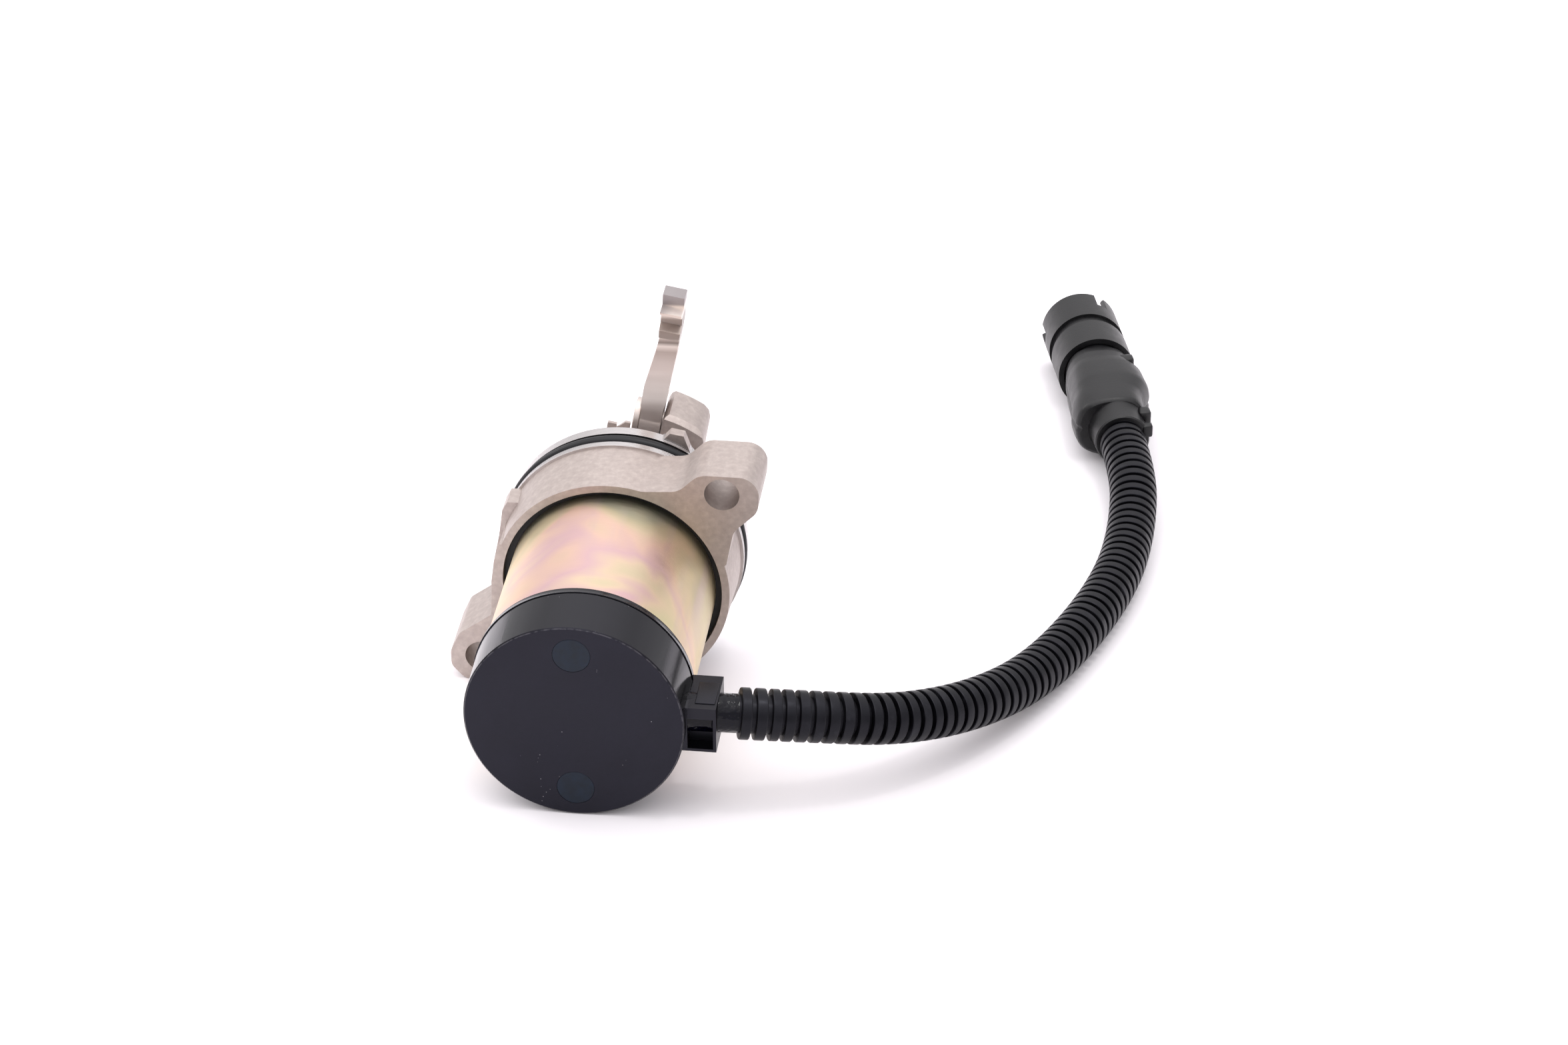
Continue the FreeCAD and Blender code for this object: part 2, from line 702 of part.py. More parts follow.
def guide_bush(doc):
    return ring(doc, "guide_bush", "rod_radius + running_clearance", "bush_radius",
                "can_end", "spigot_end - rod_seal_length")


def rod_seal(doc):
    return ring(doc, "rod_seal", "rod_radius + running_clearance", "bush_radius",
                "spigot_end - rod_seal_length", "spigot_end")


# Lever and its pivot pin

MECHANISM = in_sheet("Rest.Placement * placement(vector(0; 0; 0); "
                     "rotation(vector(0; 1; 0); mech_turn))")


def left_side(wide):
    """What is trimmed from the arm's left side, which bows inwards."""
    out = "lever_left - 3"
    return [
        (out, "arm_foot - 8"), ("lever_left", "arm_foot - 8"), ("lever_left", "arm_foot - 1"),
        (wide, "arm_foot"), (wide, "arm_foot + 6"), ("lever_left + arm_bow - 0.3", "arm_foot + 16.5"),
        ("lever_left + arm_bow", "heel_bottom - 0.9"), ("lever_left", "arm_top + 1"),
        (out, "arm_top + 1")]


def right_side(wide):
    out = "lever_right + 3"
    return [
        (out, "arm_top + 1"), ("lever_right + 0.1", "arm_top + 1"), (wide, "heel_bottom + 2"),
        (wide, "heel_bottom - 4"), ("lever_right + 0.35", "arm_foot + 2"),
        ("lever_right", "arm_foot"), ("lever_right", "arm_foot - 8"), (out, "arm_foot - 8")]


def stop_lever(doc):
    """The lever from its side: barrel, stepped and notched arm, and the end that the rod moves."""
    body = new_body(doc, "stop_lever", MECHANISM)
    middle = "(lever_left + lever_right) / 2"
    width = "lever_right - lever_left"
    wide_left = "(lever_left - arm_swell)"
    wide_right = "(lever_right + arm_bow_right)"
    extrude(body, "YZ_Plane", lambda sketch: outline(sketch, [
        ("pivot_station - barrel_radius + 0.6", "pivot_height + 2"),
        ("pivot_station - barrel_radius + 0.4", "arm_foot"), ("arm_back", "heel_bottom - 1"),
        ("ledge_back", "heel_bottom"), ("ledge_back", "notch_bottom"),
        ("ledge_back + notch_depth", "notch_bottom + 1.2"),
        ("ledge_back + notch_depth", "notch_top - 1.2"), ("ledge_back", "notch_top"),
        ("ledge_back", "ledge_height"), ("tip_back", "ledge_height"), ("tip_back", "arm_top"),
        ("tip_front", "arm_top"), ("tip_front", "heel_bottom"), ("arm_front_low", "arm_foot"),
        ("pivot_station + barrel_radius - 0.6", "pivot_height + 2")]),
        "(%s + %s) / 2" % (wide_left, wide_right), "%s - %s" % (wide_right, wide_left), both=True)
    for side in (left_side(wide_left), right_side(wide_right)):
        extrude(body, "XZ_Plane", lambda sketch: outline(sketch, side),
                "ledge_back - 4", "arm_front_low - ledge_back + 8", cut=True)
    extrude(body, "YZ_Plane", lambda sketch: circle(
        sketch, "barrel_radius", "pivot_station", "pivot_height"), middle, width, both=True)
    end_x = LINK_REACH
    extrude(body, "YZ_Plane", lambda sketch: circle(
        sketch, "link_end_radius", end_x, "0"), middle, width, both=True)
    extrude(body, "YZ_Plane", lambda sketch: outline(sketch, [
        ("pivot_station - barrel_radius + 0.8", "pivot_height - 2"),
        (end_x + " - link_end_radius + 0.1", "1"), (end_x + " + link_end_radius - 0.1", "1"),
        ("pivot_station + barrel_radius - 0.4", "pivot_height - 2")]), middle, width, both=True)
    extrude(body, "YZ_Plane", lambda sketch: circle(
        sketch, "pivot_pin_radius + running_clearance", "pivot_station", "pivot_height"),
        middle, width + " + 2", cut=True, both=True)
    gap = "link_pin_radius + link_slot_clearance"
    extrude(body, "YZ_Plane", lambda sketch: outline(sketch, [
        (end_x + " - (" + gap + ")", "-link_slot_extra"),
        (end_x + " + (" + gap + ")", "-link_slot_extra"),
        (end_x + " + (" + gap + ")", "link_slot_extra"),
        (end_x + " - (" + gap + ")", "link_slot_extra")]),
        middle, width + " + 2", cut=True, both=True)
    for side in ("-", ""):
        extrude(body, "YZ_Plane", lambda sketch: circle(sketch, gap, end_x, side + "link_slot_extra"),
                middle, width + " + 2", cut=True, both=True)
    return body


def pivot_pin(doc):
    body = new_body(doc, "pivot_pin", MECHANISM)
    head = "lever_left - running_clearance - pivot_head"
    extrude(body, "YZ_Plane", lambda sketch: circle(
        sketch, "pivot_head_radius", "pivot_station", "pivot_height"), head, "pivot_head")
    extrude(body, "YZ_Plane", lambda sketch: circle(
        sketch, "pivot_pin_radius", "pivot_station", "pivot_height"),
        "lever_left - running_clearance - 0.5",
        LUG_LEFT + " + pivot_pin_depth - (lever_left - running_clearance - 0.5)")
    return body


# Cable sleeve, lead wires and loom

def cable_sleeve(doc):
    tube = doc.addObject("Part::Cylinder", "sleeve_outside")
    bore = doc.addObject("Part::Cylinder", "sleeve_inside")
    for piece, radius in ((tube, "sleeve_radius"), (bore, "sleeve_bore")):
        bind(piece, "Radius", radius)
        bind(piece, "Height", "sleeve_length")
        bind(piece, "Placement", SLEEVE_AXIS)
    sleeve = doc.addObject("Part::Cut", "cable_sleeve")
    sleeve.Base = tube
    sleeve.Tool = bore
    sleeve.Label = "cable_sleeve"
    sleeve.setExpression("Placement", "Rest.Placement")
    return sleeve


def smooth_path(points):
    """Straight runs joined by tangent arcs, each as large as its two runs allow."""
    corners = [V(*point) for point in points]
    edges = []
    radii = []
    reached = corners[0]
    for before, corner, after in zip(corners, corners[1:], corners[2:]):
        inward = (before - corner).normalize()
        outward = (after - corner).normalize()
        turn = math.pi - inward.getAngle(outward)
        short = min((corner - before).Length, (after - corner).Length)
        trim = 0.45 * short
        radius = trim / math.tan(turn / 2)
        start = corner + inward * trim
        end = corner + outward * trim
        bisector = (inward + outward).normalize()
        middle = corner + bisector * (radius / math.cos(turn / 2) - radius)
        edges.append(Part.LineSegment(reached, start).toShape())
        edges.append(Part.Arc(start, middle, end).toShape())
        radii.append(radius)
        reached = end
    edges.append(Part.LineSegment(reached, corners[-1]).toShape())
    return Part.Wire(edges), radii


def tube_along(points, radius):
    path, radii = smooth_path(points)
    direction = V(*points[1]) - V(*points[0])
    section = Part.Wire(Part.makeCircle(radius, V(*points[0]), direction))
    solid = path.makePipeShell([section], True, True)
    expected = math.pi * radius * radius * path.Length
    if abs(solid.Volume - expected) > 0.01 * expected:
        raise RuntimeError("tube volume %.1f, expected %.1f" % (solid.Volume, expected))
    return solid, radii, path.Length


def corrugated_loom(doc):
    solid, radii, length = tube_along(LOOM_ROUTE, size(doc, "loom_radius"))
    print("loom length %.1f mm, radii %s" % (length, ", ".join("%.0f" % r for r in radii)))
    loom = doc.addObject("Part::Feature", "corrugated_loom")
    loom.Label = "corrugated_loom"
    loom.Shape = solid
    return loom


def lead_wire(doc, label, side):
    """One wire from a coil terminal across the cap's hollow into the cable sleeve."""
    swing = math.radians(size(doc, "sleeve_swing"))
    dip = math.radians(size(doc, "sleeve_dip"))
    along = V(math.cos(dip) * math.cos(swing), math.cos(dip) * math.sin(swing), -math.sin(dip))
    start = V(size(doc, "sleeve_start"), size(doc, "sleeve_station"), size(doc, "sleeve_height"))
    radius = size(doc, "wire_radius")
    apart = V(0, 0, side * (radius + 0.1))
    terminal = V(side * size(doc, "terminal_spacing") / 2,
                 size(doc, "terminal_start") - radius, size(doc, "terminal_height"))
    inside = start - along * 3 + apart
    outside = start + along * (size(doc, "sleeve_length") - size(doc, "wire_end_gap")) + apart
    drop = V(terminal.x + 2, terminal.y, inside.z + 6)
    points = [tuple(point) for point in (terminal, drop, inside, outside)]
    wire = doc.addObject("Part::Feature", label)
    wire.Label = label
    wire.Shape = tube_along(points, radius)[0]
    wire.setExpression("Placement", "Rest.Placement")
    return wire


# Connector on the loom's end, drawn along Y from its rear and turned to where it lies

PLUG_FRAME = in_sheet("placement(vector(%g; %g; plug_axis_height); rotation(vector(0; 0; 1); "
                      "plug_heading))" % (LOOM_ROUTE[-1][0], LOOM_ROUTE[-1][1]))


def hood_half(doc, label, side):
    """One half of the clamshell hood, split level, with a latch tab at each side."""
    body = new_body(doc, label, PLUG_FRAME)
    revolve(body, [
        ("0", "0"), ("hood_rear_radius", "0"), ("hood_rear_radius", "3"),
        ("hood_front_radius", "hood_taper"), ("hood_front_radius", "hood_length"),
        ("plug_body_radius + fit_clearance", "hood_length"),
        ("plug_body_radius + fit_clearance", "plug_body_start"),
        ("hood_front_radius - 2 * hood_wall", "plug_body_start"),
        ("hood_front_radius - 2 * hood_wall", "hood_taper"),
        ("hood_rear_radius - hood_wall", "3"), ("0", "3")])
    for flank in ("-", ""):
        extrude(body, "XZ_Plane", lambda sketch: outline(sketch, [
            (flank + "(hood_front_radius - hood_wall)", "-2.5"),
            (flank + "(hood_front_radius + hood_tab_reach)", "-2.5"),
            (flank + "(hood_front_radius + hood_tab_reach)", "2.5"),
            (flank + "(hood_front_radius - hood_wall)", "2.5")]),
            "hood_taper + 1", "hood_tab_width")
    reach = "hood_front_radius + hood_tab_reach + 1"
    low, high = ("-(" + reach + ")", "0") if side > 0 else ("0", reach)
    extrude(body, "XZ_Plane", lambda sketch: outline(sketch, [
        ("-(" + reach + ")", low), (reach, low), (reach, high), ("-(" + reach + ")", high)]),
        "-1", "hood_length + 2", cut=True)
    return body


def plug_body(doc):
    end = "plug_body_start + plug_body_length"
    inner = "plug_body_radius - plug_body_wall"
    floor = end + " - insert_length"
    collar = "hood_length + plug_collar_length"
    return turned(doc, "plug_body", [
        ("insert_radius - 2", "plug_body_start"), ("plug_body_radius", "plug_body_start"),
        ("plug_body_radius", "hood_length"), ("plug_collar_radius", "hood_length"),
        ("plug_collar_radius", collar), ("plug_body_radius", collar), ("plug_body_radius", end),
        (inner, end), (inner, floor), ("insert_radius - 2", floor)], PLUG_FRAME)


def plug_insert(doc):
    """The insulating insert, with a socket hole for each contact and a wide foot."""
    body = new_body(doc, "plug_insert", PLUG_FRAME)
    start = "plug_body_start + plug_body_length - insert_length"
    wide = "plug_body_radius - plug_body_wall - fit_clearance"
    revolve(body, [
        ("0", start), (wide, start), (wide, start + " + 4"), ("insert_radius", start + " + 4"),
        ("insert_radius", start + " + insert_length"), ("0", start + " + insert_length")])
    for side in ("-", ""):
        extrude(body, "XZ_Plane", lambda sketch: circle(
            sketch, "contact_radius + fit_clearance", side + "contact_spacing / 2", "0"),
            start + " - 1", "insert_length + 2", cut=True)
    return body


def plug_contact(doc, label, side):
    """A socket contact: a closed barrel with an open mouth that takes the mating pin."""
    body = new_body(doc, label, PLUG_FRAME)
    front = "plug_body_start + plug_body_length - 1"
    extrude(body, "XZ_Plane", lambda sketch: circle(
        sketch, "contact_radius", side + "contact_spacing / 2", "0"),
        front + " - contact_length", "contact_length")
    extrude(body, "XZ_Plane", lambda sketch: circle(
        sketch, "contact_radius - 0.5", side + "contact_spacing / 2", "0"),
        front + " - 8", "9", cut=True)
    return body


def face_seal(doc):
    start = "plug_body_start + plug_body_length - insert_length + 4"
    return ring(doc, "face_seal", "insert_radius + fit_clearance",
                "insert_radius + fit_clearance + face_seal_width", start, start + " + 3", PLUG_FRAME)


def coupling_ring(doc):
    """The bayonet ring that turns on the plug body, with a groove round it and three slots."""
    body = new_body(doc, "coupling_ring", PLUG_FRAME)
    inner = "plug_body_radius + sliding_clearance"
    end = "ring_start + ring_length"
    dip = "ring_radius - ring_groove_depth"
    groove = "ring_start + ring_band"
    revolve(body, [
        (inner, "ring_start"), ("ring_radius", "ring_start"), ("ring_radius", groove),
        (dip, groove), (dip, groove + " + ring_groove"), ("ring_radius", groove + " + ring_groove"),
        ("ring_radius", end + " - 0.8"), ("ring_radius - 0.8", end), (inner, end)])
    extrude(body, "XZ_Plane", lambda sketch: outline(sketch, [
        ("-ring_radius - 1", "-ring_slot / 2"), ("0", "-ring_slot / 2"), ("0", "ring_slot / 2"),
        ("-ring_radius - 1", "ring_slot / 2")]),
        end + " - ring_slot_length", "ring_slot_length + 1", cut=True)
    body.Tip = three_round(doc, body, body.Tip)
    return body


def three_round(doc, body, feature):
    pattern = body.newObject("PartDesign::PolarPattern", body.Name + "_pattern")
    pattern.Originals = [feature]
    axis = [item for item in body.Origin.OriginFeatures if item.Role == "Y_Axis"][0]
    pattern.Axis = (axis, [""])
    pattern.Angle = 360
    pattern.Occurrences = 3
    return pattern


# The whole, its resting place and its files

def build_pieces(doc):
    """Each piece once, in the order it would be taken off the bench."""
    solenoid = [
        end_cap(doc), cap_plug(doc, "cap_plug_upper", "plug_offset"),
        cap_plug(doc, "cap_plug_lower", "-plug_offset"), solenoid_can(doc), can_seal(doc),
        rear_pole_plate(doc), fixed_core(doc), guide_tube(doc), coil_bobbin(doc), coil_winding(doc),
        coil_wrap(doc), front_pole_plate(doc), coil_terminal(doc, "coil_terminal_left", "-"),
        coil_terminal(doc, "coil_terminal_right", ""), plunger(doc), return_spring(doc),
        push_rod(doc), rod_clevis(doc), clevis_pin(doc), buffer_ring(doc), flange_housing(doc),
        spigot_oring(doc), guide_bush(doc), rod_seal(doc), stop_lever(doc), pivot_pin(doc)]
    wiring = [
        lead_wire(doc, "lead_wire_left", -1), lead_wire(doc, "lead_wire_right", 1),
        cable_sleeve(doc), corrugated_loom(doc), hood_half(doc, "hood_upper", 1),
        hood_half(doc, "hood_lower", -1), plug_body(doc), plug_insert(doc),
        plug_contact(doc, "plug_contact_left", "-"), plug_contact(doc, "plug_contact_right", ""),
        face_seal(doc), coupling_ring(doc)]
    return solenoid, wiring


def lay_down(doc, rest, solenoid):
    """Tilt onto the cap's rim and the O-ring, and centre the solenoid over the origin."""
    reach = (size(doc, "groove_start") + size(doc, "groove_end")) / 2
    rise = size(doc, "oring_radius") - size(doc, "cap_radius")
    tilt = FreeCAD.Rotation(V(1, 0, 0), math.degrees(math.atan2(rise, reach)))
    rest.Placement = FreeCAD.Placement(V(0, 0, 0), tilt)
    doc.recompute()
    box = FreeCAD.BoundBox()
    for piece in solenoid:
        box.add(piece.Shape.optimalBoundingBox(False))
    rest.Placement = FreeCAD.Placement(V(-box.Center.x, -box.Center.y, -box.ZMin), tilt)
    doc.recompute()
    print("laid down by %s" % rest.Placement)


def check_and_write(doc, pieces):
    for item in doc.Objects:
        if "Invalid" in item.State or "Error" in item.State:
            raise RuntimeError("%s did not recompute: %s" % (item.Label, item.State))
    for piece in pieces:
        if piece.Shape.isNull() or not piece.Shape.isValid() or not piece.Shape.Solids:
            raise RuntimeError("%s has no valid shape" % piece.Label)
    os.makedirs("parts", exist_ok=True)
    for piece in pieces:
        piece.Shape.exportStep("parts/%s.step" % piece.Label)
        print("%-22s %2d solid %10.1f mm3" % (piece.Label, len(piece.Shape.Solids), piece.Shape.Volume))


def main():
    doc = FreeCAD.newDocument("fuel_shutoff_solenoid")
    make_sheet(doc)
    rest = doc.addObject("Part::Vertex", "Rest")
    solenoid, wiring = build_pieces(doc)
    lay_down(doc, rest, solenoid)
    check_and_write(doc, solenoid + wiring)


main()
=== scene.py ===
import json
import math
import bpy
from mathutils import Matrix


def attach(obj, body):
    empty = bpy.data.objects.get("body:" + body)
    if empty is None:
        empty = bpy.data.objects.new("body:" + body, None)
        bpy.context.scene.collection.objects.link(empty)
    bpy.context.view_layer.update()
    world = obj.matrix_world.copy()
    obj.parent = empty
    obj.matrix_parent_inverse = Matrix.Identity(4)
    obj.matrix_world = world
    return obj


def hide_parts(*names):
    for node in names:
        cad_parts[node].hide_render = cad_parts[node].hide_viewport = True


bl_info = {
    "name": "Fuel shutoff solenoid",
    "version": (1, 0, 0),
    "blender": (4, 5, 0),
    "location": "3D View > Sidebar > Solenoid",
    "description": "Finishes, cable, plug and studio for the packed fuel shutoff solenoid",
    "category": "Object",
}

import bmesh
import bpy
from bpy.props import FloatProperty, IntProperty, PointerProperty
from mathutils import Matrix, Vector

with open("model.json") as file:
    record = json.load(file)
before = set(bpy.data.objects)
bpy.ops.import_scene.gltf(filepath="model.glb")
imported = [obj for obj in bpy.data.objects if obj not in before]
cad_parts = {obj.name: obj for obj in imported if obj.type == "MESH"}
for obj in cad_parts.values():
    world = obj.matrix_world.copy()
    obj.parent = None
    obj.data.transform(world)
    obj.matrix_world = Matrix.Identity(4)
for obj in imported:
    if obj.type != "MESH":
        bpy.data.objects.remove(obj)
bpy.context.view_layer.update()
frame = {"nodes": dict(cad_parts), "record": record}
MOUNTS = {mount["name"]: mount for mount in frame["record"]["mounts"]}
MM = 0.001

# The solenoid's own frame: Y runs from the cap's face along the can, X towards the cable outlet
SPIGOT_STATION = 83.95 * MM
ALONG = Vector(MOUNTS["spigot"]["axis"]).normalized()
START = Vector(MOUNTS["spigot"]["pos_m"]) - ALONG * SPIGOT_STATION
TILT = math.atan2(ALONG.z, ALONG.y)
SOLENOID = Matrix.Translation(START) @ Matrix.Rotation(TILT, 4, "X")

# The plug's frame: Y runs from the hood's rear to the coupling ring's mouth
PLUG_LENGTH = 65 * MM
PLUG_ALONG = Vector(MOUNTS["cable_plug"]["axis"]).normalized()
PLUG_START = Vector(MOUNTS["cable_plug"]["pos_m"]) - PLUG_ALONG * PLUG_LENGTH
HEADING = math.atan2(-PLUG_ALONG.x, PLUG_ALONG.y)
PLUG = Matrix.Translation(PLUG_START) @ Matrix.Rotation(HEADING, 4, "Z")

# Where the solenoid's finishes change: stations along it and radii, and the heights on the lever
# that its painted highlight and shade bands span
CAP_RADIUS = 27.5 * MM
CAN_START = 18 * MM
CAN_END = 62 * MM
MOUNT_FACE = 80 * MM
SPIGOT_END = 96 * MM
SPIGOT_REACH = 32.4 * MM
LEVER_FOOT = 30 * MM
LEVER_HEAD = 66 * MM

# The cable's route on the surface, from the shrunk sleeve to the plug, in metres
LOOM_ROUTE = [
    (0.04149, -0.04556, 0.02632),
    (0.06137, -0.04120, 0.02406),
    (0.07956, -0.03091, 0.01850),
    (0.09645, -0.01248, 0.01270),
    (0.11024, 0.01189, 0.00770),
    (0.12124, 0.03980, 0.00670),
    (0.12900, 0.06950, 0.00660),
    (0.13140, 0.09550, 0.00760),
    (0.130307, 0.12290, 0.01110),
    (0.12400, 0.14917, 0.01110),
]

# The tube's ridges: their share of the pitch, how far their shoulders drop, and their profile
# as (share of the ridge's length, level), where level 0 is the groove and 2 the top
RIDGE_SHARE = 0.72
SHOULDER = 0.14 * MM
RIDGE_PROFILE = [(0.0, 0), (0.05, 1), (0.13, 2), (0.87, 2), (0.95, 1), (1.0, 0)]

# The hood's outline: station, reach to the left and right, and half its height, in millimetres
HOOD = [
    (0.0, 10.4, 7.2, 8.2), (0.5, 11.2, 7.9, 8.9), (1.4, 11.7, 8.2, 9.3),
    (5.0, 11.9, 8.4, 9.6), (8.0, 11.8, 8.8, 9.9), (9.5, 11.3, 9.6, 10.0),
    (13.0, 11.1, 11.4, 10.4), (15.0, 10.9, 11.9, 10.5), (22.0, 10.5, 11.6, 10.5),
    (25.2, 10.2, 10.4, 10.2), (26.3, 9.9, 9.9, 9.9), (29.2, 9.85, 9.85, 9.85),
    (29.8, 9.3, 9.3, 9.3), (32.6, 9.25, 9.25, 9.25),
]
# Its sections are squarish, which this power of sine and cosine gives, and 1 would be round
SQUARENESS = 0.78
# Its seam: depth as a share of the reach, half width as a sine, and the station where it ends
SEAM_DEPTH = 0.045
SEAM_WIDTH = 0.06
SEAM_END = 26
# Its latch tabs and clip: name and two corners in the plug's frame, in millimetres
TABS = [
    ("latch_tab_rear", (5.4, -8.6, 0.6), (8.6, -5.6, 4.4)),
    ("latch_tab_middle", (5.6, -3.4, 1.6), (9.0, 0.6, 6.0)),
    ("hood_clip", (4.8, 24.4, 4.0), (9.0, 28.0, 9.0)),
]

# Outlines of the spun pieces: radius and station in millimetres
NECK = [(6.0, -8.4), (7.35, -8.4), (7.7, -8.0), (7.8, -2.0), (8.4, 0.6), (6.0, 0.6)]
CAP_LIP = [(27.2, 15.7), (27.86, 15.7), (27.96, 15.8), (27.8, 16.1), (27.74, 17.75), (27.2, 17.8)]

# The step on the outlet block: two corners in the solenoid's frame, in millimetres
OUTLET_STEP = ((29.4, 5.2, 4.0), (34.4, 14.6, 4.62))

# An edge whose faces turn by more than this is sharp
SHARP = math.radians(32)

# The camera, fitted to the photo: its place, its directions to the right and back, and its lens
CAMERA_PLACE = (0.17321, -1.02534, 0.6176)
CAMERA_RIGHT = Vector((0.99247, 0.12246, 0.0013))
CAMERA_BACK = Vector((0.10696, -0.87192, 0.47782))
CAMERA_LENS = 107.14
SENSOR_WIDTH = 36.0

# The lamps: name, place and size in metres, and power in watts. All of them look at one place
LAMPS = [
    ("key", (-0.3, -0.3, 1.85), 2.2, 7.0),
    ("left", (-1.3, 0.5, 0.9), 0.7, 4.0),
    ("glint", (0.335, -0.1, 1.5), 0.14, 2.0),
]
LAMPS_LOOK_AT = Vector((0.05, 0.03, 0.03))


# Materials

def linear(hex_colour):
    """The linear colour of an sRGB hex value."""
    parts = [int(hex_colour[i:i + 2], 16) / 255 for i in (1, 3, 5)]
    return [p / 12.92 if p <= 0.04045 else ((p + 0.055) / 1.055) ** 2.4 for p in parts] + [1.0]


def add(tree, kind, inputs=None, stops=(), **settings):
    """Adds a node. An input is a value, a socket or a node, which gives its first output."""
    node = tree.nodes.new("ShaderNode" + kind)
    for key, value in settings.items():
        setattr(node, key, value)
    for key, value in (inputs or {}).items():
        if isinstance(value, bpy.types.Node):
            value = value.outputs[0]
        if isinstance(value, bpy.types.NodeSocket):
            tree.links.new(value, node.inputs[key])
        else:
            node.inputs[key].default_value = value
    for number, (place, colour) in enumerate(stops):
        elements = node.color_ramp.elements
        element = elements[number] if number < 2 else elements.new(place)
        element.position = place
        element.color = linear(colour)
    return node


def blank_material(name):
    """A material with an empty node tree."""
    material = bpy.data.materials.new(name)
    material.use_nodes = True
    material.node_tree.nodes.clear()
    return material, material.node_tree


def solenoid_space(tree):
    """Object coordinates turned into the solenoid's own frame."""
    place = add(tree, "TexCoord").outputs["Object"]
    return add(tree, "Mapping", {"Vector": place, "Location": START, "Rotation": (TILT, 0, 0)},
               vector_type="TEXTURE")


def distance_from_axis(tree, place):
    """How far a place in the solenoid's frame is from its axis."""
    spread = add(tree, "VectorMath", {0: place, 1: (1.0, 0.0, 1.0)}, operation="MULTIPLY")
    return add(tree, "VectorMath", {0: spread}, operation="LENGTH").outputs["Value"]


def moulded_nylon():
    """Glass-filled nylon, moulded: a charcoal satin face and polished sides, with a few specks."""
    material, tree = blank_material("moulded_glass_filled_nylon")
    place = solenoid_space(tree)
    split = add(tree, "SeparateXYZ", {"Vector": place})
    face = add(tree, "MapRange", {"Value": split.outputs["Y"], "From Min": 0.34 * MM,
                                  "From Max": 0.06 * MM})
    # The flow of the melt gives clouds about 9 mm across
    mottle = add(tree, "TexNoise", {"Vector": place, "Scale": 1 / (9 * MM), "Detail": 4.0})
    sides = add(tree, "ValToRGB", {"Fac": mottle}, [(0.3, "#020203"), (0.7, "#050506")])
    front = add(tree, "ValToRGB", {"Fac": mottle}, [(0.3, "#020209"), (0.7, "#060610")])
    base = add(tree, "MixRGB", {"Fac": face, "Color1": sides, "Color2": front})
    # Dust and small chips, about 0.3 mm across, in patches where the cap was handled
    specks = add(tree, "TexVoronoi", {"Vector": place, "Scale": 1 / (1.9 * MM)})
    spots = add(tree, "MapRange", {"Value": specks, "From Min": 0.10, "From Max": 0.05})
    where = add(tree, "TexNoise", {"Vector": place, "Scale": 1 / (14 * MM), "Detail": 1.0})
    patch = add(tree, "MapRange", {"Value": where, "From Min": 0.58, "From Max": 0.66})
    amount = add(tree, "Math", {0: spots, 1: patch}, operation="MULTIPLY")
    spotted = add(tree, "MixRGB", {"Fac": amount, "Color1": base, "Color2": linear("#6E6C70")})
    radius = distance_from_axis(tree, place)
    # The rim of the face is painted paler, a painted highlight along its edge, with gaps
    rim = add(tree, "MapRange", {"Value": radius, "From Min": CAP_RADIUS - 0.5 * MM,
                                 "From Max": CAP_RADIUS - 0.25 * MM})
    painted_rim_highlight = add(tree, "Math", {0: rim, 1: face}, operation="MULTIPLY")
    nicks = add(tree, "TexNoise", {"Vector": place, "Scale": 1 / (1.4 * MM), "Detail": 3.0})
    broken = add(tree, "MapRange", {"Value": nicks, "From Min": 0.38, "From Max": 0.56})
    patchy = add(tree, "Math", {0: painted_rim_highlight, 1: broken}, operation="MULTIPLY")
    colour = add(tree, "MixRGB", {"Fac": patchy, "Color1": spotted, "Color2": linear("#5A585C")})
    # Polished sides, a satin outlet block and a face that was wiped duller in places
    wiped = add(tree, "TexNoise", {"Vector": place, "Scale": 1 / (16 * MM), "Detail": 4.0})
    dull = add(tree, "MapRange", {"Value": wiped, "From Min": 0.3, "From Max": 0.7,
                                  "To Min": 0.38, "To Max": 0.5})
    sheen = add(tree, "MapRange", {"Value": radius, "From Min": CAP_RADIUS + 0.4 * MM,
                                   "From Max": CAP_RADIUS + 0.9 * MM, "To Min": 0.13,
                                   "To Max": 0.36})
    rough = add(tree, "MapRange", {"Value": face, "To Min": sheen.outputs[0],
                                   "To Max": dull.outputs[0]})
    # Glass fibres at the skin are finer than this, and are drawn at 0.35 mm so that they show
    grain = add(tree, "TexNoise", {"Vector": place, "Scale": 1 / (0.35 * MM), "Detail": 2.0})
    bump = add(tree, "Bump", {"Height": grain, "Distance": 0.012 * MM})
    shader = add(tree, "BsdfPrincipled", {"Base Color": colour, "Roughness": rough, "IOR": 1.38,
                                          "Specular Tint": linear("#E9E8FF"), "Normal": bump})
    add(tree, "OutputMaterial", {"Surface": shader})
    return material


def potting_resin():
    """Cast epoxy in the cap's two holes: dark navy, smooth, a little dulled."""
    material, tree = blank_material("cast_epoxy_resin")
    place = solenoid_space(tree)
    flow = add(tree, "TexNoise", {"Vector": place, "Scale": 1 / (3 * MM), "Detail": 2.0})
    colour = add(tree, "ValToRGB", {"Fac": flow}, [(0.3, "#010C1A"), (0.7, "#031426")])
    rough = add(tree, "MapRange", {"Value": flow, "To Min": 0.3, "To Max": 0.46})
    bump = add(tree, "Bump", {"Height": flow, "Distance": 0.05 * MM})
    shader = add(tree, "BsdfPrincipled", {"Base Color": colour, "Roughness": rough, "IOR": 1.35,
                                          "Normal": bump})
    add(tree, "OutputMaterial", {"Surface": shader})
    return material


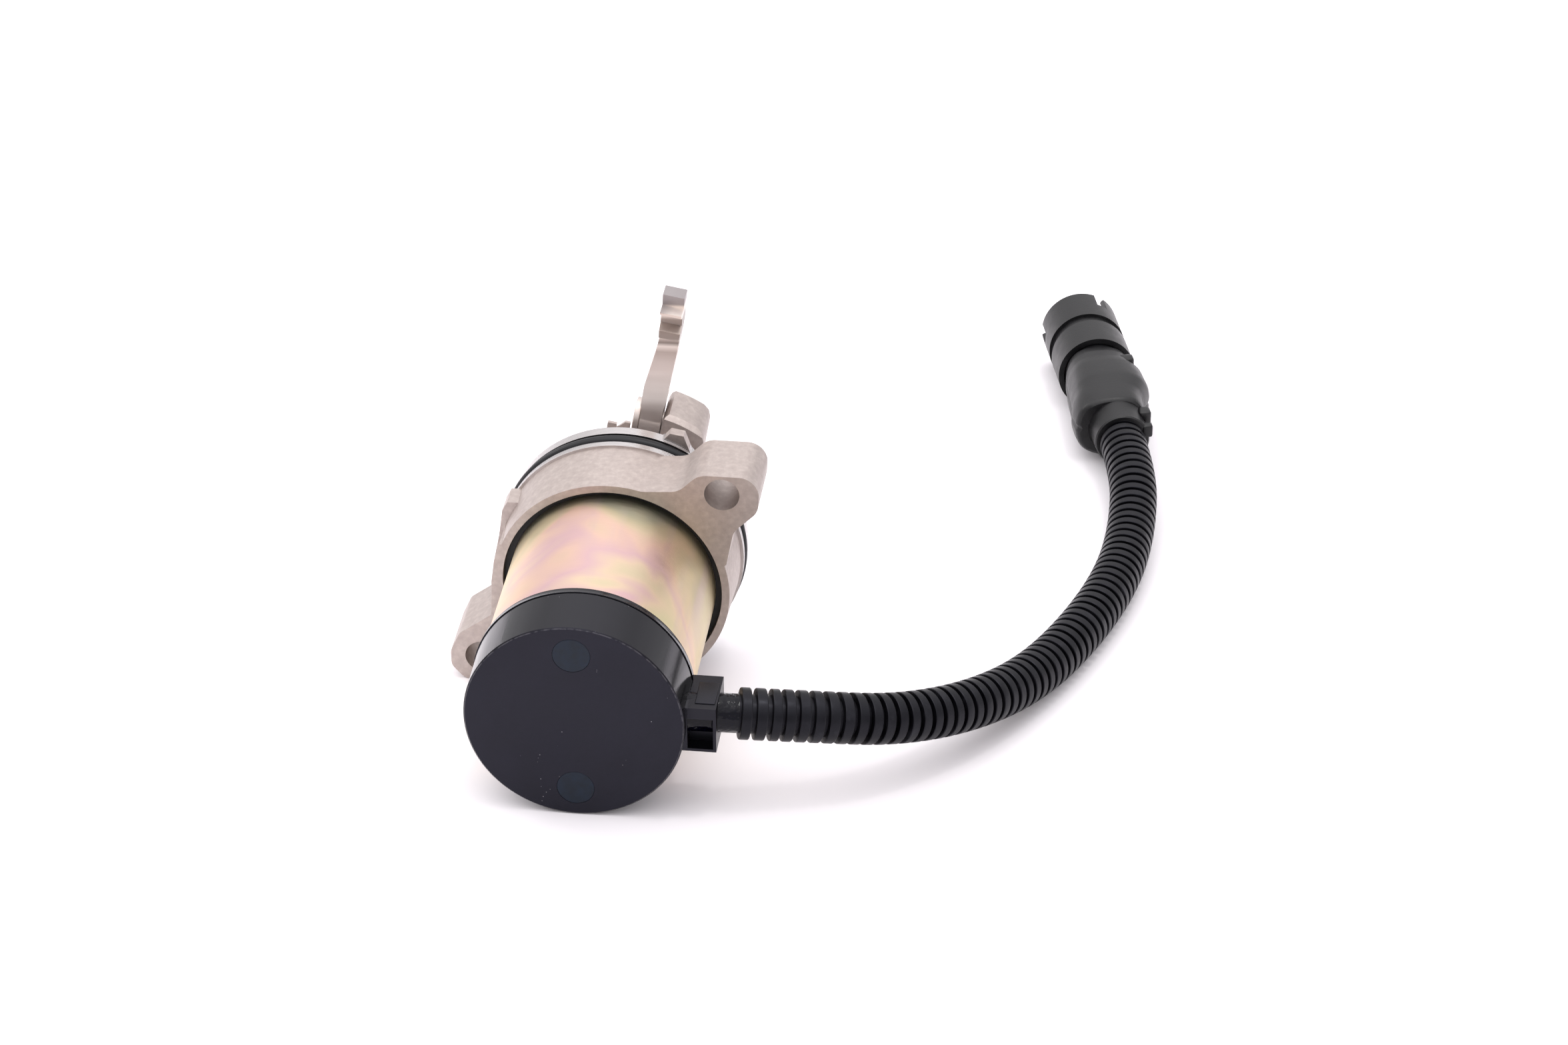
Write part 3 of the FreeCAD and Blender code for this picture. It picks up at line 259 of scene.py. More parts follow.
def yellow_passivated_zinc():
    """Zinc plate with a yellow chromate film: pale gold with pink, green and violet drifts, and
    painted reflections in streaks along the can.
    """
    material, tree = blank_material("yellow_passivated_zinc_plate")
    place = solenoid_space(tree)
    split = add(tree, "SeparateXYZ", {"Vector": place})
    # The film is thinner and greener towards the flange, and sways in slow drifts
    along = add(tree, "MapRange", {"Value": split.outputs["Y"], "From Min": CAN_END,
                                   "From Max": CAN_START, "To Min": 0.3, "To Max": 0.66})
    drift = add(tree, "TexNoise", {"Vector": place, "Scale": 1 / (30 * MM), "Detail": 2.0,
                                   "Roughness": 0.45, "Distortion": 0.7})
    sway = add(tree, "MapRange", {"Value": drift, "From Min": 0.3, "From Max": 0.7,
                                  "To Min": -0.24, "To Max": 0.24})
    thickness = add(tree, "Math", {0: sway, 1: along}, operation="ADD")
    drifts = add(tree, "ValToRGB", {"Fac": thickness}, [
        (0.18, "#979B89"), (0.30, "#A6A38E"), (0.40, "#BFB496"), (0.50, "#D3BFA3"),
        (0.58, "#DDBDAB"), (0.66, "#D3B1B2"), (0.74, "#DCC5AC"), (0.84, "#C9C49F")])
    # Both flanks are more golden
    flank = add(tree, "Math", {0: split.outputs["X"]}, operation="ABSOLUTE")
    gold = add(tree, "MapRange", {"Value": flank, "From Min": 13 * MM, "From Max": 27 * MM,
                                  "To Max": 0.55})
    warmed = add(tree, "MixRGB", {"Fac": gold, "Color1": drifts, "Color2": linear("#E9D2A4")})
    # Violet-grey streaks along the can are painted reflections
    lengthways = add(tree, "Mapping", {"Vector": place, "Scale": (1.0, 0.12, 1.0)})
    lengthwise_noise = add(tree, "TexNoise", {"Vector": lengthways, "Scale": 1 / (7 * MM), "Detail": 3.0})
    painted_reflection_streaks = add(tree, "MapRange", {"Value": lengthwise_noise, "From Min": 0.5, "From Max": 0.7,
                                     "To Max": 0.4})
    film = add(tree, "MixRGB", {"Fac": painted_reflection_streaks, "Color1": warmed, "Color2": linear("#CBB3B6")})
    # The drawing lines that go round the can are finer, and are 0.4 mm apart here so that they show
    around = add(tree, "Mapping", {"Vector": place, "Scale": (1.0, 14.0, 1.0)})
    drawn = add(tree, "TexNoise", {"Vector": around, "Scale": 1 / (6 * MM), "Detail": 4.0})
    rough = add(tree, "MapRange", {"Value": drawn, "From Min": 0.3, "From Max": 0.7,
                                   "To Min": 0.38, "To Max": 0.45})
    # The thin wall is a little uneven, and has long scratches round it
    wavy = add(tree, "TexNoise", {"Vector": place, "Scale": 1 / (12 * MM), "Detail": 2.0})
    scratches = add(tree, "TexVoronoi", {"Vector": around, "Scale": 1 / (9 * MM)},
                    feature="DISTANCE_TO_EDGE")
    fine = add(tree, "MapRange", {"Value": scratches, "From Min": 0.0, "From Max": 0.012})
    waves = add(tree, "Bump", {"Height": wavy, "Distance": 0.06 * MM})
    scored = add(tree, "Bump", {"Height": fine, "Distance": 0.008 * MM, "Normal": waves})
    bump = add(tree, "Bump", {"Height": drawn, "Distance": 0.01 * MM, "Normal": scored})
    shader = add(tree, "BsdfPrincipled", {"Base Color": film, "Metallic": 1.0, "Roughness": rough,
                                          "Normal": bump})
    add(tree, "OutputMaterial", {"Surface": shader})
    return material


def cast_aluminium():
    """Die-cast aluminium, blasted: warm grey and grainy, with turned lands on the spigot."""
    material, tree = blank_material("blasted_cast_aluminium")
    place = solenoid_space(tree)
    split = add(tree, "SeparateXYZ", {"Vector": place})
    radius = distance_from_axis(tree, place)
    # The spigot is turned between the mounting face and its own end
    ahead = add(tree, "MapRange", {"Value": split.outputs["Y"], "From Min": MOUNT_FACE - 0.1 * MM,
                                   "From Max": MOUNT_FACE})
    inside = add(tree, "MapRange", {"Value": radius, "From Min": SPIGOT_REACH,
                                    "From Max": SPIGOT_REACH - 0.1 * MM})
    behind = add(tree, "MapRange", {"Value": split.outputs["Y"], "From Min": SPIGOT_END + MM,
                                    "From Max": SPIGOT_END})
    near = add(tree, "Math", {0: ahead, 1: inside}, operation="MULTIPLY")
    turned = add(tree, "Math", {0: near, 1: behind}, operation="MULTIPLY")
    mottle = add(tree, "TexNoise", {"Vector": place, "Scale": 1 / (1.6 * MM), "Detail": 5.0,
                                    "Roughness": 0.6})
    cast = add(tree, "ValToRGB", {"Fac": mottle}, [
        (0.3, "#B0A5A0"), (0.5, "#B8ADA8"), (0.7, "#C2B8B2")])
    base = add(tree, "MixRGB", {"Fac": turned, "Color1": cast, "Color2": linear("#C9C5C4")})
    rough = add(tree, "MapRange", {"Value": turned, "To Min": 0.5, "To Max": 0.27})
    # Blasting leaves marks of about 0.2 mm, drawn at 0.5 mm so that they show. The turning lines
    # are 0.6 mm apart here for the same reason
    grain = add(tree, "TexNoise", {"Vector": place, "Scale": 1 / (0.5 * MM), "Detail": 3.0})
    rings = add(tree, "TexWave", {"Vector": place, "Scale": 1 / (2.0 * MM), "Distortion": 0.4},
                bands_direction="Y")
    height = add(tree, "MixRGB", {"Fac": turned, "Color1": grain, "Color2": rings})
    bump = add(tree, "Bump", {"Height": height, "Distance": 0.035 * MM, "Strength": 0.8})
    shader = add(tree, "BsdfPrincipled", {"Base Color": base, "Metallic": 1.0, "Roughness": rough,
                                          "Normal": bump})
    add(tree, "OutputMaterial", {"Surface": shader})
    return material


def bright_zinc():
    """Bright zinc-plated steel: silvery, with painted highlights and painted shade in bands up the
    lever, where its bends face the light or turn from it.
    """
    material, tree = blank_material("bright_zinc_plated_steel")
    place = solenoid_space(tree)
    across = add(tree, "Mapping", {"Vector": place, "Scale": (0.25, 0.25, 3.0)})
    bands = add(tree, "TexNoise", {"Vector": across, "Scale": 1 / (7 * MM), "Detail": 3.0})
    plating = add(tree, "ValToRGB", {"Fac": bands}, [
        (0.3, "#D8CBC5"), (0.5, "#E4D8D2"), (0.7, "#EEE4DF")])
    split = add(tree, "SeparateXYZ", {"Vector": place})
    # Painted highlights and painted shade in bands from the barrel up, by height: the arm, the
    # heel's bend, the notch, the tip
    height = add(tree, "MapRange", {"Value": split.outputs["Z"], "From Min": LEVER_FOOT,
                                    "From Max": LEVER_HEAD})
    painted_light_bands = add(tree, "ValToRGB", {"Fac": height}, [
        (0.0, "#B9AEA8"), (0.12, "#FFF8F2"), (0.34, "#E6DAD4"), (0.50, "#B0A39C"),
        (0.545, "#F4ECE6"), (0.575, "#655B54"), (0.61, "#C6BAB3"), (0.645, "#6E635B"),
        (0.76, "#7D7169"), (0.79, "#E6DBD3"), (0.84, "#E6DBD3"), (0.86, "#716E73"),
        (0.94, "#7E7B7F"), (0.953, "#D2CAC4")])
    # Three quarters of the colour is these painted light and shade bands, and a quarter is the
    # plating's tone
    colour = add(tree, "MixRGB", {"Fac": 0.25, "Color1": painted_light_bands, "Color2": plating})
    rough = add(tree, "MapRange", {"Value": bands, "From Min": 0.3, "From Max": 0.7,
                                   "To Min": 0.34, "To Max": 0.42})
    bump = add(tree, "Bump", {"Height": bands, "Distance": 0.006 * MM})
    shader = add(tree, "BsdfPrincipled", {"Base Color": colour, "Metallic": 0.75,
                                          "Roughness": rough, "Normal": bump})
    add(tree, "OutputMaterial", {"Surface": shader})
    return material


def plain_finish(name, dark, light, roughness, grain, depth, metallic=0.0, ior=1.45):
    """A finish with a slight mottle and a fine grain, of the given size and depth in metres."""
    material, tree = blank_material(name)
    place = add(tree, "TexCoord").outputs["Object"]
    mottle = add(tree, "TexNoise", {"Vector": place, "Scale": 0.12 / grain, "Detail": 4.0})
    colour = add(tree, "ValToRGB", {"Fac": mottle}, [(0.3, dark), (0.7, light)])
    patchy = add(tree, "MapRange", {"Value": mottle, "From Min": 0.3, "From Max": 0.7,
                                  "To Min": roughness * 0.88, "To Max": roughness * 1.12})
    fine = add(tree, "TexNoise", {"Vector": place, "Scale": 1 / grain, "Detail": 2.0})
    bump = add(tree, "Bump", {"Height": fine, "Distance": depth})
    sockets = {"Base Color": colour, "Metallic": metallic, "Roughness": patchy, "Normal": bump}
    if not metallic:
        sockets["IOR"] = ior
    shader = add(tree, "BsdfPrincipled", sockets)
    add(tree, "OutputMaterial", {"Surface": shader})
    return material


def corrugated_nylon():
    """Blow-formed nylon tube: satin charcoal, scuffed paler in places."""
    material, tree = blank_material("corrugated_nylon_tube")
    place = add(tree, "TexCoord").outputs["Object"]
    # Scuffs from handling, about 5 mm across
    scuff = add(tree, "TexNoise", {"Vector": place, "Scale": 1 / (5 * MM), "Detail": 5.0})
    colour = add(tree, "ValToRGB", {"Fac": scuff}, [
        (0.3, "#030305"), (0.6, "#09090C"), (0.75, "#1A1A1E")])
    rough = add(tree, "MapRange", {"Value": scuff, "From Min": 0.3, "From Max": 0.7,
                                   "To Min": 0.3, "To Max": 0.44})
    grain = add(tree, "TexNoise", {"Vector": place, "Scale": 1 / (0.6 * MM), "Detail": 2.0})
    bump = add(tree, "Bump", {"Height": grain, "Distance": 0.02 * MM})
    shader = add(tree, "BsdfPrincipled", {"Base Color": colour, "Roughness": rough, "IOR": 1.3,
                                          "Specular Tint": linear("#EEEEFF"), "Normal": bump})
    add(tree, "OutputMaterial", {"Surface": shader})
    return material


FINISHES = {}


def make_finishes():
    """Every finish by its short name."""
    FINISHES.update({
        "nylon": moulded_nylon(),
        "resin": potting_resin(),
        "zinc_yellow": yellow_passivated_zinc(),
        "cast": cast_aluminium(),
        "zinc_bright": bright_zinc(),
        "loom": corrugated_nylon(),
        # Nitrile rubber: near black and dull, with the faint bloom of a moulded seal
        "rubber": plain_finish("moulded_nitrile_rubber", "#0C0C10", "#141418", 0.4, 0.4 * MM,
                               0.02 * MM, ior=1.38),
        # Heat-shrunk polyolefin: black and glossy, with slow waves that break up its highlight
        "shrink": plain_finish("heat_shrunk_polyolefin", "#010108", "#030310", 0.12, 2.4 * MM,
                               0.5 * MM, ior=1.28),
        # Moulded polyester: black and matt, with a fine spark texture
        "plug": plain_finish("spark_textured_polyester", "#09090B", "#131315", 0.38, 0.4 * MM,
                             0.03 * MM, ior=1.42),
        # Soft iron: mid grey, turned and bare
        "iron": plain_finish("soft_magnet_iron", "#6B6A6C", "#7B7A7C", 0.4, 0.5 * MM, 0.02 * MM,
                             1.0),
        # Ground steel: bright and even
        "ground": plain_finish("ground_steel", "#A9A9AB", "#BDBDBF", 0.25, 0.3 * MM, 0.01 * MM,
                               1.0),
        # Drawn wire: dark grey with a sheen
        "spring": plain_finish("drawn_spring_wire", "#55555A", "#66666B", 0.3, 0.3 * MM, 0.01 * MM,
                               1.0),
        # Enamelled copper: red-brown and glossy
        "copper": plain_finish("enamelled_copper_wire", "#9C5230", "#B9683F", 0.3, 0.5 * MM,
                               0.05 * MM, 1.0),
        # Sintered bronze: dull brown gold with open pores
        "bronze": plain_finish("sintered_bronze", "#8F7042", "#A58452", 0.42, 0.3 * MM, 0.03 * MM,
                               1.0),
        # Tinned brass: pale and soft
        "tin": plain_finish("tinned_brass", "#B8B29C", "#CBC5B0", 0.3, 0.4 * MM, 0.01 * MM, 1.0),
        # Natural nylon: ivory and waxy
        "natural": plain_finish("natural_nylon", "#CFC9B4", "#DAD5C2", 0.42, 0.5 * MM, 0.02 * MM),
        # Polyester tape: amber with a low gloss
        "tape": plain_finish("polyester_tape", "#B79A3A", "#C9AD4C", 0.35, 0.8 * MM, 0.02 * MM),
        # Wire insulation: black and smooth
        "wire": plain_finish("wire_insulation", "#141414", "#1D1D1D", 0.4, 0.5 * MM, 0.01 * MM),
    })


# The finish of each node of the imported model
NODE_FINISH = {
    "end_cap": "nylon", "cap_plug_upper": "resin", "cap_plug_lower": "resin",
    "solenoid_can": "zinc_yellow", "can_seal": "rubber", "rear_pole_plate": "iron",
    "fixed_core": "iron", "guide_tube": "bronze", "coil_bobbin": "natural",
    "coil_winding": "copper", "coil_wrap": "tape", "front_pole_plate": "iron",
    "coil_terminal_left": "tin", "coil_terminal_right": "tin", "plunger": "ground",
    "return_spring": "spring", "push_rod": "ground", "rod_clevis": "zinc_bright",
    "clevis_pin": "ground", "buffer_ring": "rubber", "flange_housing": "cast",
    "spigot_oring": "rubber", "guide_bush": "bronze", "rod_seal": "rubber",
    "stop_lever": "zinc_bright", "pivot_pin": "zinc_bright", "lead_wire_left": "wire",
    "lead_wire_right": "wire", "cable_sleeve": "shrink", "corrugated_loom": "loom",
    "hood_upper": "plug", "hood_lower": "plug", "plug_body": "plug", "plug_insert": "plug",
    "plug_contact_left": "tin", "plug_contact_right": "tin", "face_seal": "rubber",
    "coupling_ring": "plug",
}


# Mesh helpers

def is_sharp(edge):
    """Whether the two faces of an edge meet at more than the sharp angle."""
    return edge.is_manifold and edge.calc_face_angle(0) > SHARP


def finished(bm, name, finish, body, replaced=()):
    """Turns a bmesh into a piece that rides on a body, smooth but for its sharp edges."""
    for face in bm.faces:
        face.smooth = True
    for edge in bm.edges:
        edge.smooth = not is_sharp(edge)
    mesh = bpy.data.meshes.new(name)
    bm.to_mesh(mesh)
    bm.free()
    piece = bpy.data.objects.new(name, mesh)
    bpy.context.scene.collection.objects.link(piece)
    mesh.materials.append(FINISHES[finish])
    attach(piece, body)
    if replaced:
        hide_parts(*replaced)
        # A CAD mesh has long thin triangles, which shade in streaks unless large faces lead
        even = piece.modifiers.new("even_shading", "WEIGHTED_NORMAL")
        even.keep_sharp = True
    return piece


def softened(node, width, segments=2):
    """A copy of a CAD node's mesh, with its sharp edges broken by a small bevel."""
    bm = bmesh.new()
    bm.from_mesh(frame["nodes"][node].data)
    bmesh.ops.remove_doubles(bm, verts=bm.verts, dist=0.002 * MM)
    bmesh.ops.dissolve_limit(bm, angle_limit=math.radians(0.6), verts=bm.verts, edges=bm.edges)
    sharp = [edge for edge in bm.edges if is_sharp(edge)]
    bmesh.ops.bevel(bm, geom=sharp, offset=width, offset_type="OFFSET", segments=segments,
                    profile=0.5, affect="EDGES", clamp_overlap=True, material=-1)
    return bm


def spun(profile, matrix, steps):
    """A solid of revolution about Y from (radius, station) points in millimetres, then placed."""
    bm = bmesh.new()
    points = [bm.verts.new((radius * MM, station * MM, 0)) for radius, station in profile]
    for first, second in zip(points, points[1:] + points[:1]):
        bm.edges.new((first, second))
    bmesh.ops.spin(bm, geom=bm.verts[:] + bm.edges[:], cent=(0, 0, 0), axis=(0, 1, 0),
                   dvec=(0, 0, 0), angle=math.tau, steps=steps, use_merge=True, use_duplicate=False)
    bmesh.ops.recalc_face_normals(bm, faces=bm.faces)
    bmesh.ops.transform(bm, matrix=matrix, verts=bm.verts)
    return bm


def lofted(rings):
    """A closed skin through rings of as many points each, with a face at each end."""
    bm = bmesh.new()
    before = []
    for number, ring in enumerate(rings):
        ends = number in (0, len(rings) - 1)
        made = bmesh.ops.create_circle(bm, cap_ends=ends, radius=MM, segments=len(ring))
        verts = sorted(made["verts"], key=lambda vert: math.atan2(vert.co.y, vert.co.x))
        edges = [bm.edges.get(pair) for pair in zip(verts, verts[1:] + verts[:1])]
        for vert, place in zip(verts, ring):
            vert.co = place
        if before:
            bmesh.ops.bridge_loops(bm, edges=before + edges)
        before = edges
    bmesh.ops.recalc_face_normals(bm, faces=bm.faces)
    return bm


def block(low, high, matrix, bevel):
    """A bevelled block between two corners in millimetres, placed by a matrix."""
    bm = bmesh.new()
    bmesh.ops.create_cube(bm, size=1.0)
    low = Vector(low) * MM
    high = Vector(high) * MM
    bmesh.ops.scale(bm, vec=high - low, verts=bm.verts)
    bmesh.ops.translate(bm, vec=(low + high) / 2, verts=bm.verts)
    bmesh.ops.bevel(bm, geom=bm.edges[:], offset=bevel * MM, offset_type="OFFSET", segments=3,
                    profile=0.5, affect="EDGES", clamp_overlap=True, material=-1)
    bmesh.ops.transform(bm, matrix=matrix, verts=bm.verts)
    return bm


def route_points(detail):
    """The cable's route as a smooth spline, and the points read from it."""
    curve = bpy.data.curves.new("loom_line", "CURVE")
    curve.dimensions = "3D"
    curve.resolution_u = detail
    spline = curve.splines.new("NURBS")
    spline.points.add(len(LOOM_ROUTE) - 1)
    for point, place in zip(spline.points, LOOM_ROUTE):
        point.co = (*place, 1.0)
    spline.order_u = 3
    spline.use_endpoint_u = True
    line = bpy.data.objects.new("loom_line", curve)
    mesh = bpy.data.meshes.new_from_object(line)
    points = [vertex.co.copy() for vertex in mesh.vertices]
    bpy.data.objects.remove(line)
    bpy.data.curves.remove(curve)
    bpy.data.meshes.remove(mesh)
    return points


def rings_along(points, marks, sides):
    """A ring of points for each (distance, radius) along a line, turned as little as it can be."""
    lengths = [0.0]
    for first, second in zip(points, points[1:]):
        lengths.append(lengths[-1] + (second - first).length)
    heading = (points[1] - points[0]).normalized()
    side = heading.cross(Vector((0, 0, 1))).normalized()
    rings = []
    step = 0
    for distance, radius in marks:
        while step < len(points) - 2 and lengths[step + 1] < distance:
            step += 1
        share = (distance - lengths[step]) / (lengths[step + 1] - lengths[step])
        place = points[step].lerp(points[step + 1], share)
        ahead = (points[min(step + 2, len(points) - 1)] - points[max(step - 1, 0)]).normalized()
        side = heading.rotation_difference(ahead) @ side
        heading = ahead
        up = heading.cross(side)
        turns = [math.tau * number / sides for number in range(sides)]
        rings.append([place + (side * math.cos(turn) + up * math.sin(turn)) * radius
                      for turn in turns])
    return rings


# Settings

class SolenoidSettings(bpy.types.PropertyGroup):
    """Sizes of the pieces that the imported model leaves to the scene"""
    cast_edge: FloatProperty(
        name="Cast edge", description="Width of the bevel on the housing's edges",
        default=0.4 * MM, min=0.0, soft_max=0.001, unit="LENGTH", precision=5)
    moulded_edge: FloatProperty(
        name="Moulded edge", description="Width of the bevel on the cap's and the plug's edges",
        default=0.3 * MM, min=0.0, soft_max=0.001, unit="LENGTH", precision=5)
    pressed_edge: FloatProperty(
        name="Pressed edge", description="Width of the bevel on the lever's and the pin's edges",
        default=0.25 * MM, min=0.0, soft_max=0.001, unit="LENGTH", precision=5)
    loom_diameter: FloatProperty(
        name="Loom diameter", description="Outside diameter of the corrugated tube over its ridges",
        default=13.0 * MM, min=0.004, unit="LENGTH", precision=5)
    loom_depth: FloatProperty(
        name="Groove depth", description="Depth of the corrugated tube's grooves",
        default=1.6 * MM, min=0.0001, unit="LENGTH", precision=5)
    loom_pitch: FloatProperty(
        name="Pitch", description="Distance from one ridge of the corrugated tube to the next",
        default=3.5 * MM, min=0.001, unit="LENGTH", precision=5)
    loom_sides: IntProperty(
        name="Sides", description="Number of faces around the corrugated tube",
        default=48, min=12, max=96)


# Operators

class SOLENOID_OT_nodes(bpy.types.Operator):
    """Give every CAD node its finish"""
    bl_idname = "solenoid.nodes"
    bl_label = "Finish the CAD nodes"

    def execute(self, context):
        make_finishes()
        for name, obj in frame["nodes"].items():
            material = FINISHES[NODE_FINISH[name]]
            if not obj.material_slots:
                obj.data.materials.append(material)
            for slot in obj.material_slots:
                slot.material = material
        return {"FINISHED"}


class SOLENOID_OT_cap(bpy.types.Operator):
    """Make the moulded end cap with its resin plugs, parting lip and outlet step"""
    bl_idname = "solenoid.cap"
    bl_label = "End cap"

    def execute(self, context):
        width = context.scene.solenoid_settings.moulded_edge
        finished(softened("end_cap", width), "cap_moulding", "nylon", "housing",
                 ["end_cap"])
        for side in ("upper", "lower"):
            node = "cap_plug_" + side
            finished(softened(node, 0.6 * width), "resin_" + side, "resin", "housing",
                     [node])
        # The mould's parting line stands as a low lip round the cap, short of the can
        lip = spun(CAP_LIP, SOLENOID, 192)
        finished(lip, "cap_flash_line", "nylon", "housing")
        # A shallow step on the outlet block, from the mould's insert
        step = block(*OUTLET_STEP, SOLENOID, 0.18)
        finished(step, "outlet_step", "nylon", "housing")
        return {"FINISHED"}


class SOLENOID_OT_housing(bpy.types.Operator):
    """Make the cast housing with its edges broken"""
    bl_idname = "solenoid.housing"
    bl_label = "Housing"

    def execute(self, context):
        width = context.scene.solenoid_settings.cast_edge
        finished(softened("flange_housing", width), "housing_casting", "cast", "housing",
                 ["flange_housing"])
        return {"FINISHED"}


class SOLENOID_OT_lever(bpy.types.Operator):
    """Make the lever and its pin with their edges broken"""
    bl_idname = "solenoid.lever"
    bl_label = "Lever and pin"

    def execute(self, context):
        width = context.scene.solenoid_settings.pressed_edge
        finished(softened("stop_lever", width), "lever_blank", "zinc_bright", "lever",
                 ["stop_lever"])
        finished(softened("pivot_pin", 1.4 * width, 3), "pin_headed", "zinc_bright", "housing",
                 ["pivot_pin"])
        return {"FINISHED"}


class SOLENOID_OT_plug(bpy.types.Operator):
    """Make the plug's hood with its seam and latch tabs, and its coupling ring"""
    bl_idname = "solenoid.plug"
    bl_label = "Plug"

    def execute(self, context):
        width = context.scene.solenoid_settings.moulded_edge
        finished(softened("coupling_ring", width), "bayonet_ring", "plug", "coupling_ring",
                 ["coupling_ring"])
        finished(self.hood(), "hood_moulding", "plug", "housing",
                 ["hood_upper", "hood_lower"])
        for name, low, high in TABS:
            finished(block(low, high, PLUG, 0.7), name, "plug", "housing")
        # The hood's neck clasps the cable's last ridges
        finished(spun(NECK, PLUG, 64), "hood_neck", "plug", "housing")
        return {"FINISHED"}

    @staticmethod
    def hood():
        """Squarish sections with a sunk seam at each side, where the two halves meet."""
        # Close points for the seam, then 12 even ones up to the top, and the same mirrored
        turns = [0.0, 0.02, 0.05, 0.075]
        clear = 0.16
        turns += [clear + step * (math.pi / 2 - clear) / 11 for step in range(12)]
        turns += [math.pi - turn for turn in reversed(turns[:-1])]
        turns += [turn + math.pi for turn in turns[:-1]]
        rings = []
        for station, left, right, half in HOOD:
            ring = []
            for turn in turns[:-1]:
                level = min(abs(math.sin(turn)) / SEAM_WIDTH, 1.0)
                shrink = 1.0 - SEAM_DEPTH * max(0.0, 1.0 - level) * (station < SEAM_END)
                across = math.copysign(abs(math.cos(turn)) ** SQUARENESS, math.cos(turn)) * shrink
                up = math.copysign(abs(math.sin(turn)) ** SQUARENESS, math.sin(turn)) * shrink
                reach = right if across > 0 else left
                ring.append(PLUG @ Vector((across * reach * MM, station * MM, up * half * MM)))
            rings.append(ring)
        return lofted(rings)


class SOLENOID_OT_loom(bpy.types.Operator):
    """Make the corrugated tube along its route"""
    bl_idname = "solenoid.loom"
    bl_label = "Corrugated tube"

    def execute(self, context):
        settings = context.scene.solenoid_settings
        points = route_points(24)
        total = sum((b - a).length for a, b in zip(points, points[1:]))
        outer = settings.loom_diameter / 2
        inner = outer - settings.loom_depth
        levels = (inner, outer - SHOULDER, outer)
        pitch = settings.loom_pitch
        marks = [(0.0, inner)]
        place = 0.4 * MM
        count = 0
        while place + pitch < total - 0.2 * MM:
            # The first ridges are stretched where the tube was pushed over the sleeve
            stretch = 1.0 + max(0.0, 0.16 - 0.03 * count) * math.sin(count * 1.9 + 0.4)
            ridge = RIDGE_SHARE * pitch * stretch
            groove = pitch * stretch - ridge
            marks += [(place + share * ridge, levels[level]) for share, level in RIDGE_PROFILE]
            place += ridge + groove
            count += 1
        marks.append((total, inner))
        tube = lofted(rings_along(points, marks, settings.loom_sides))
        piece = finished(tube, "loom_tube", "loom", "housing", ["corrugated_loom"])
        return {"FINISHED"}


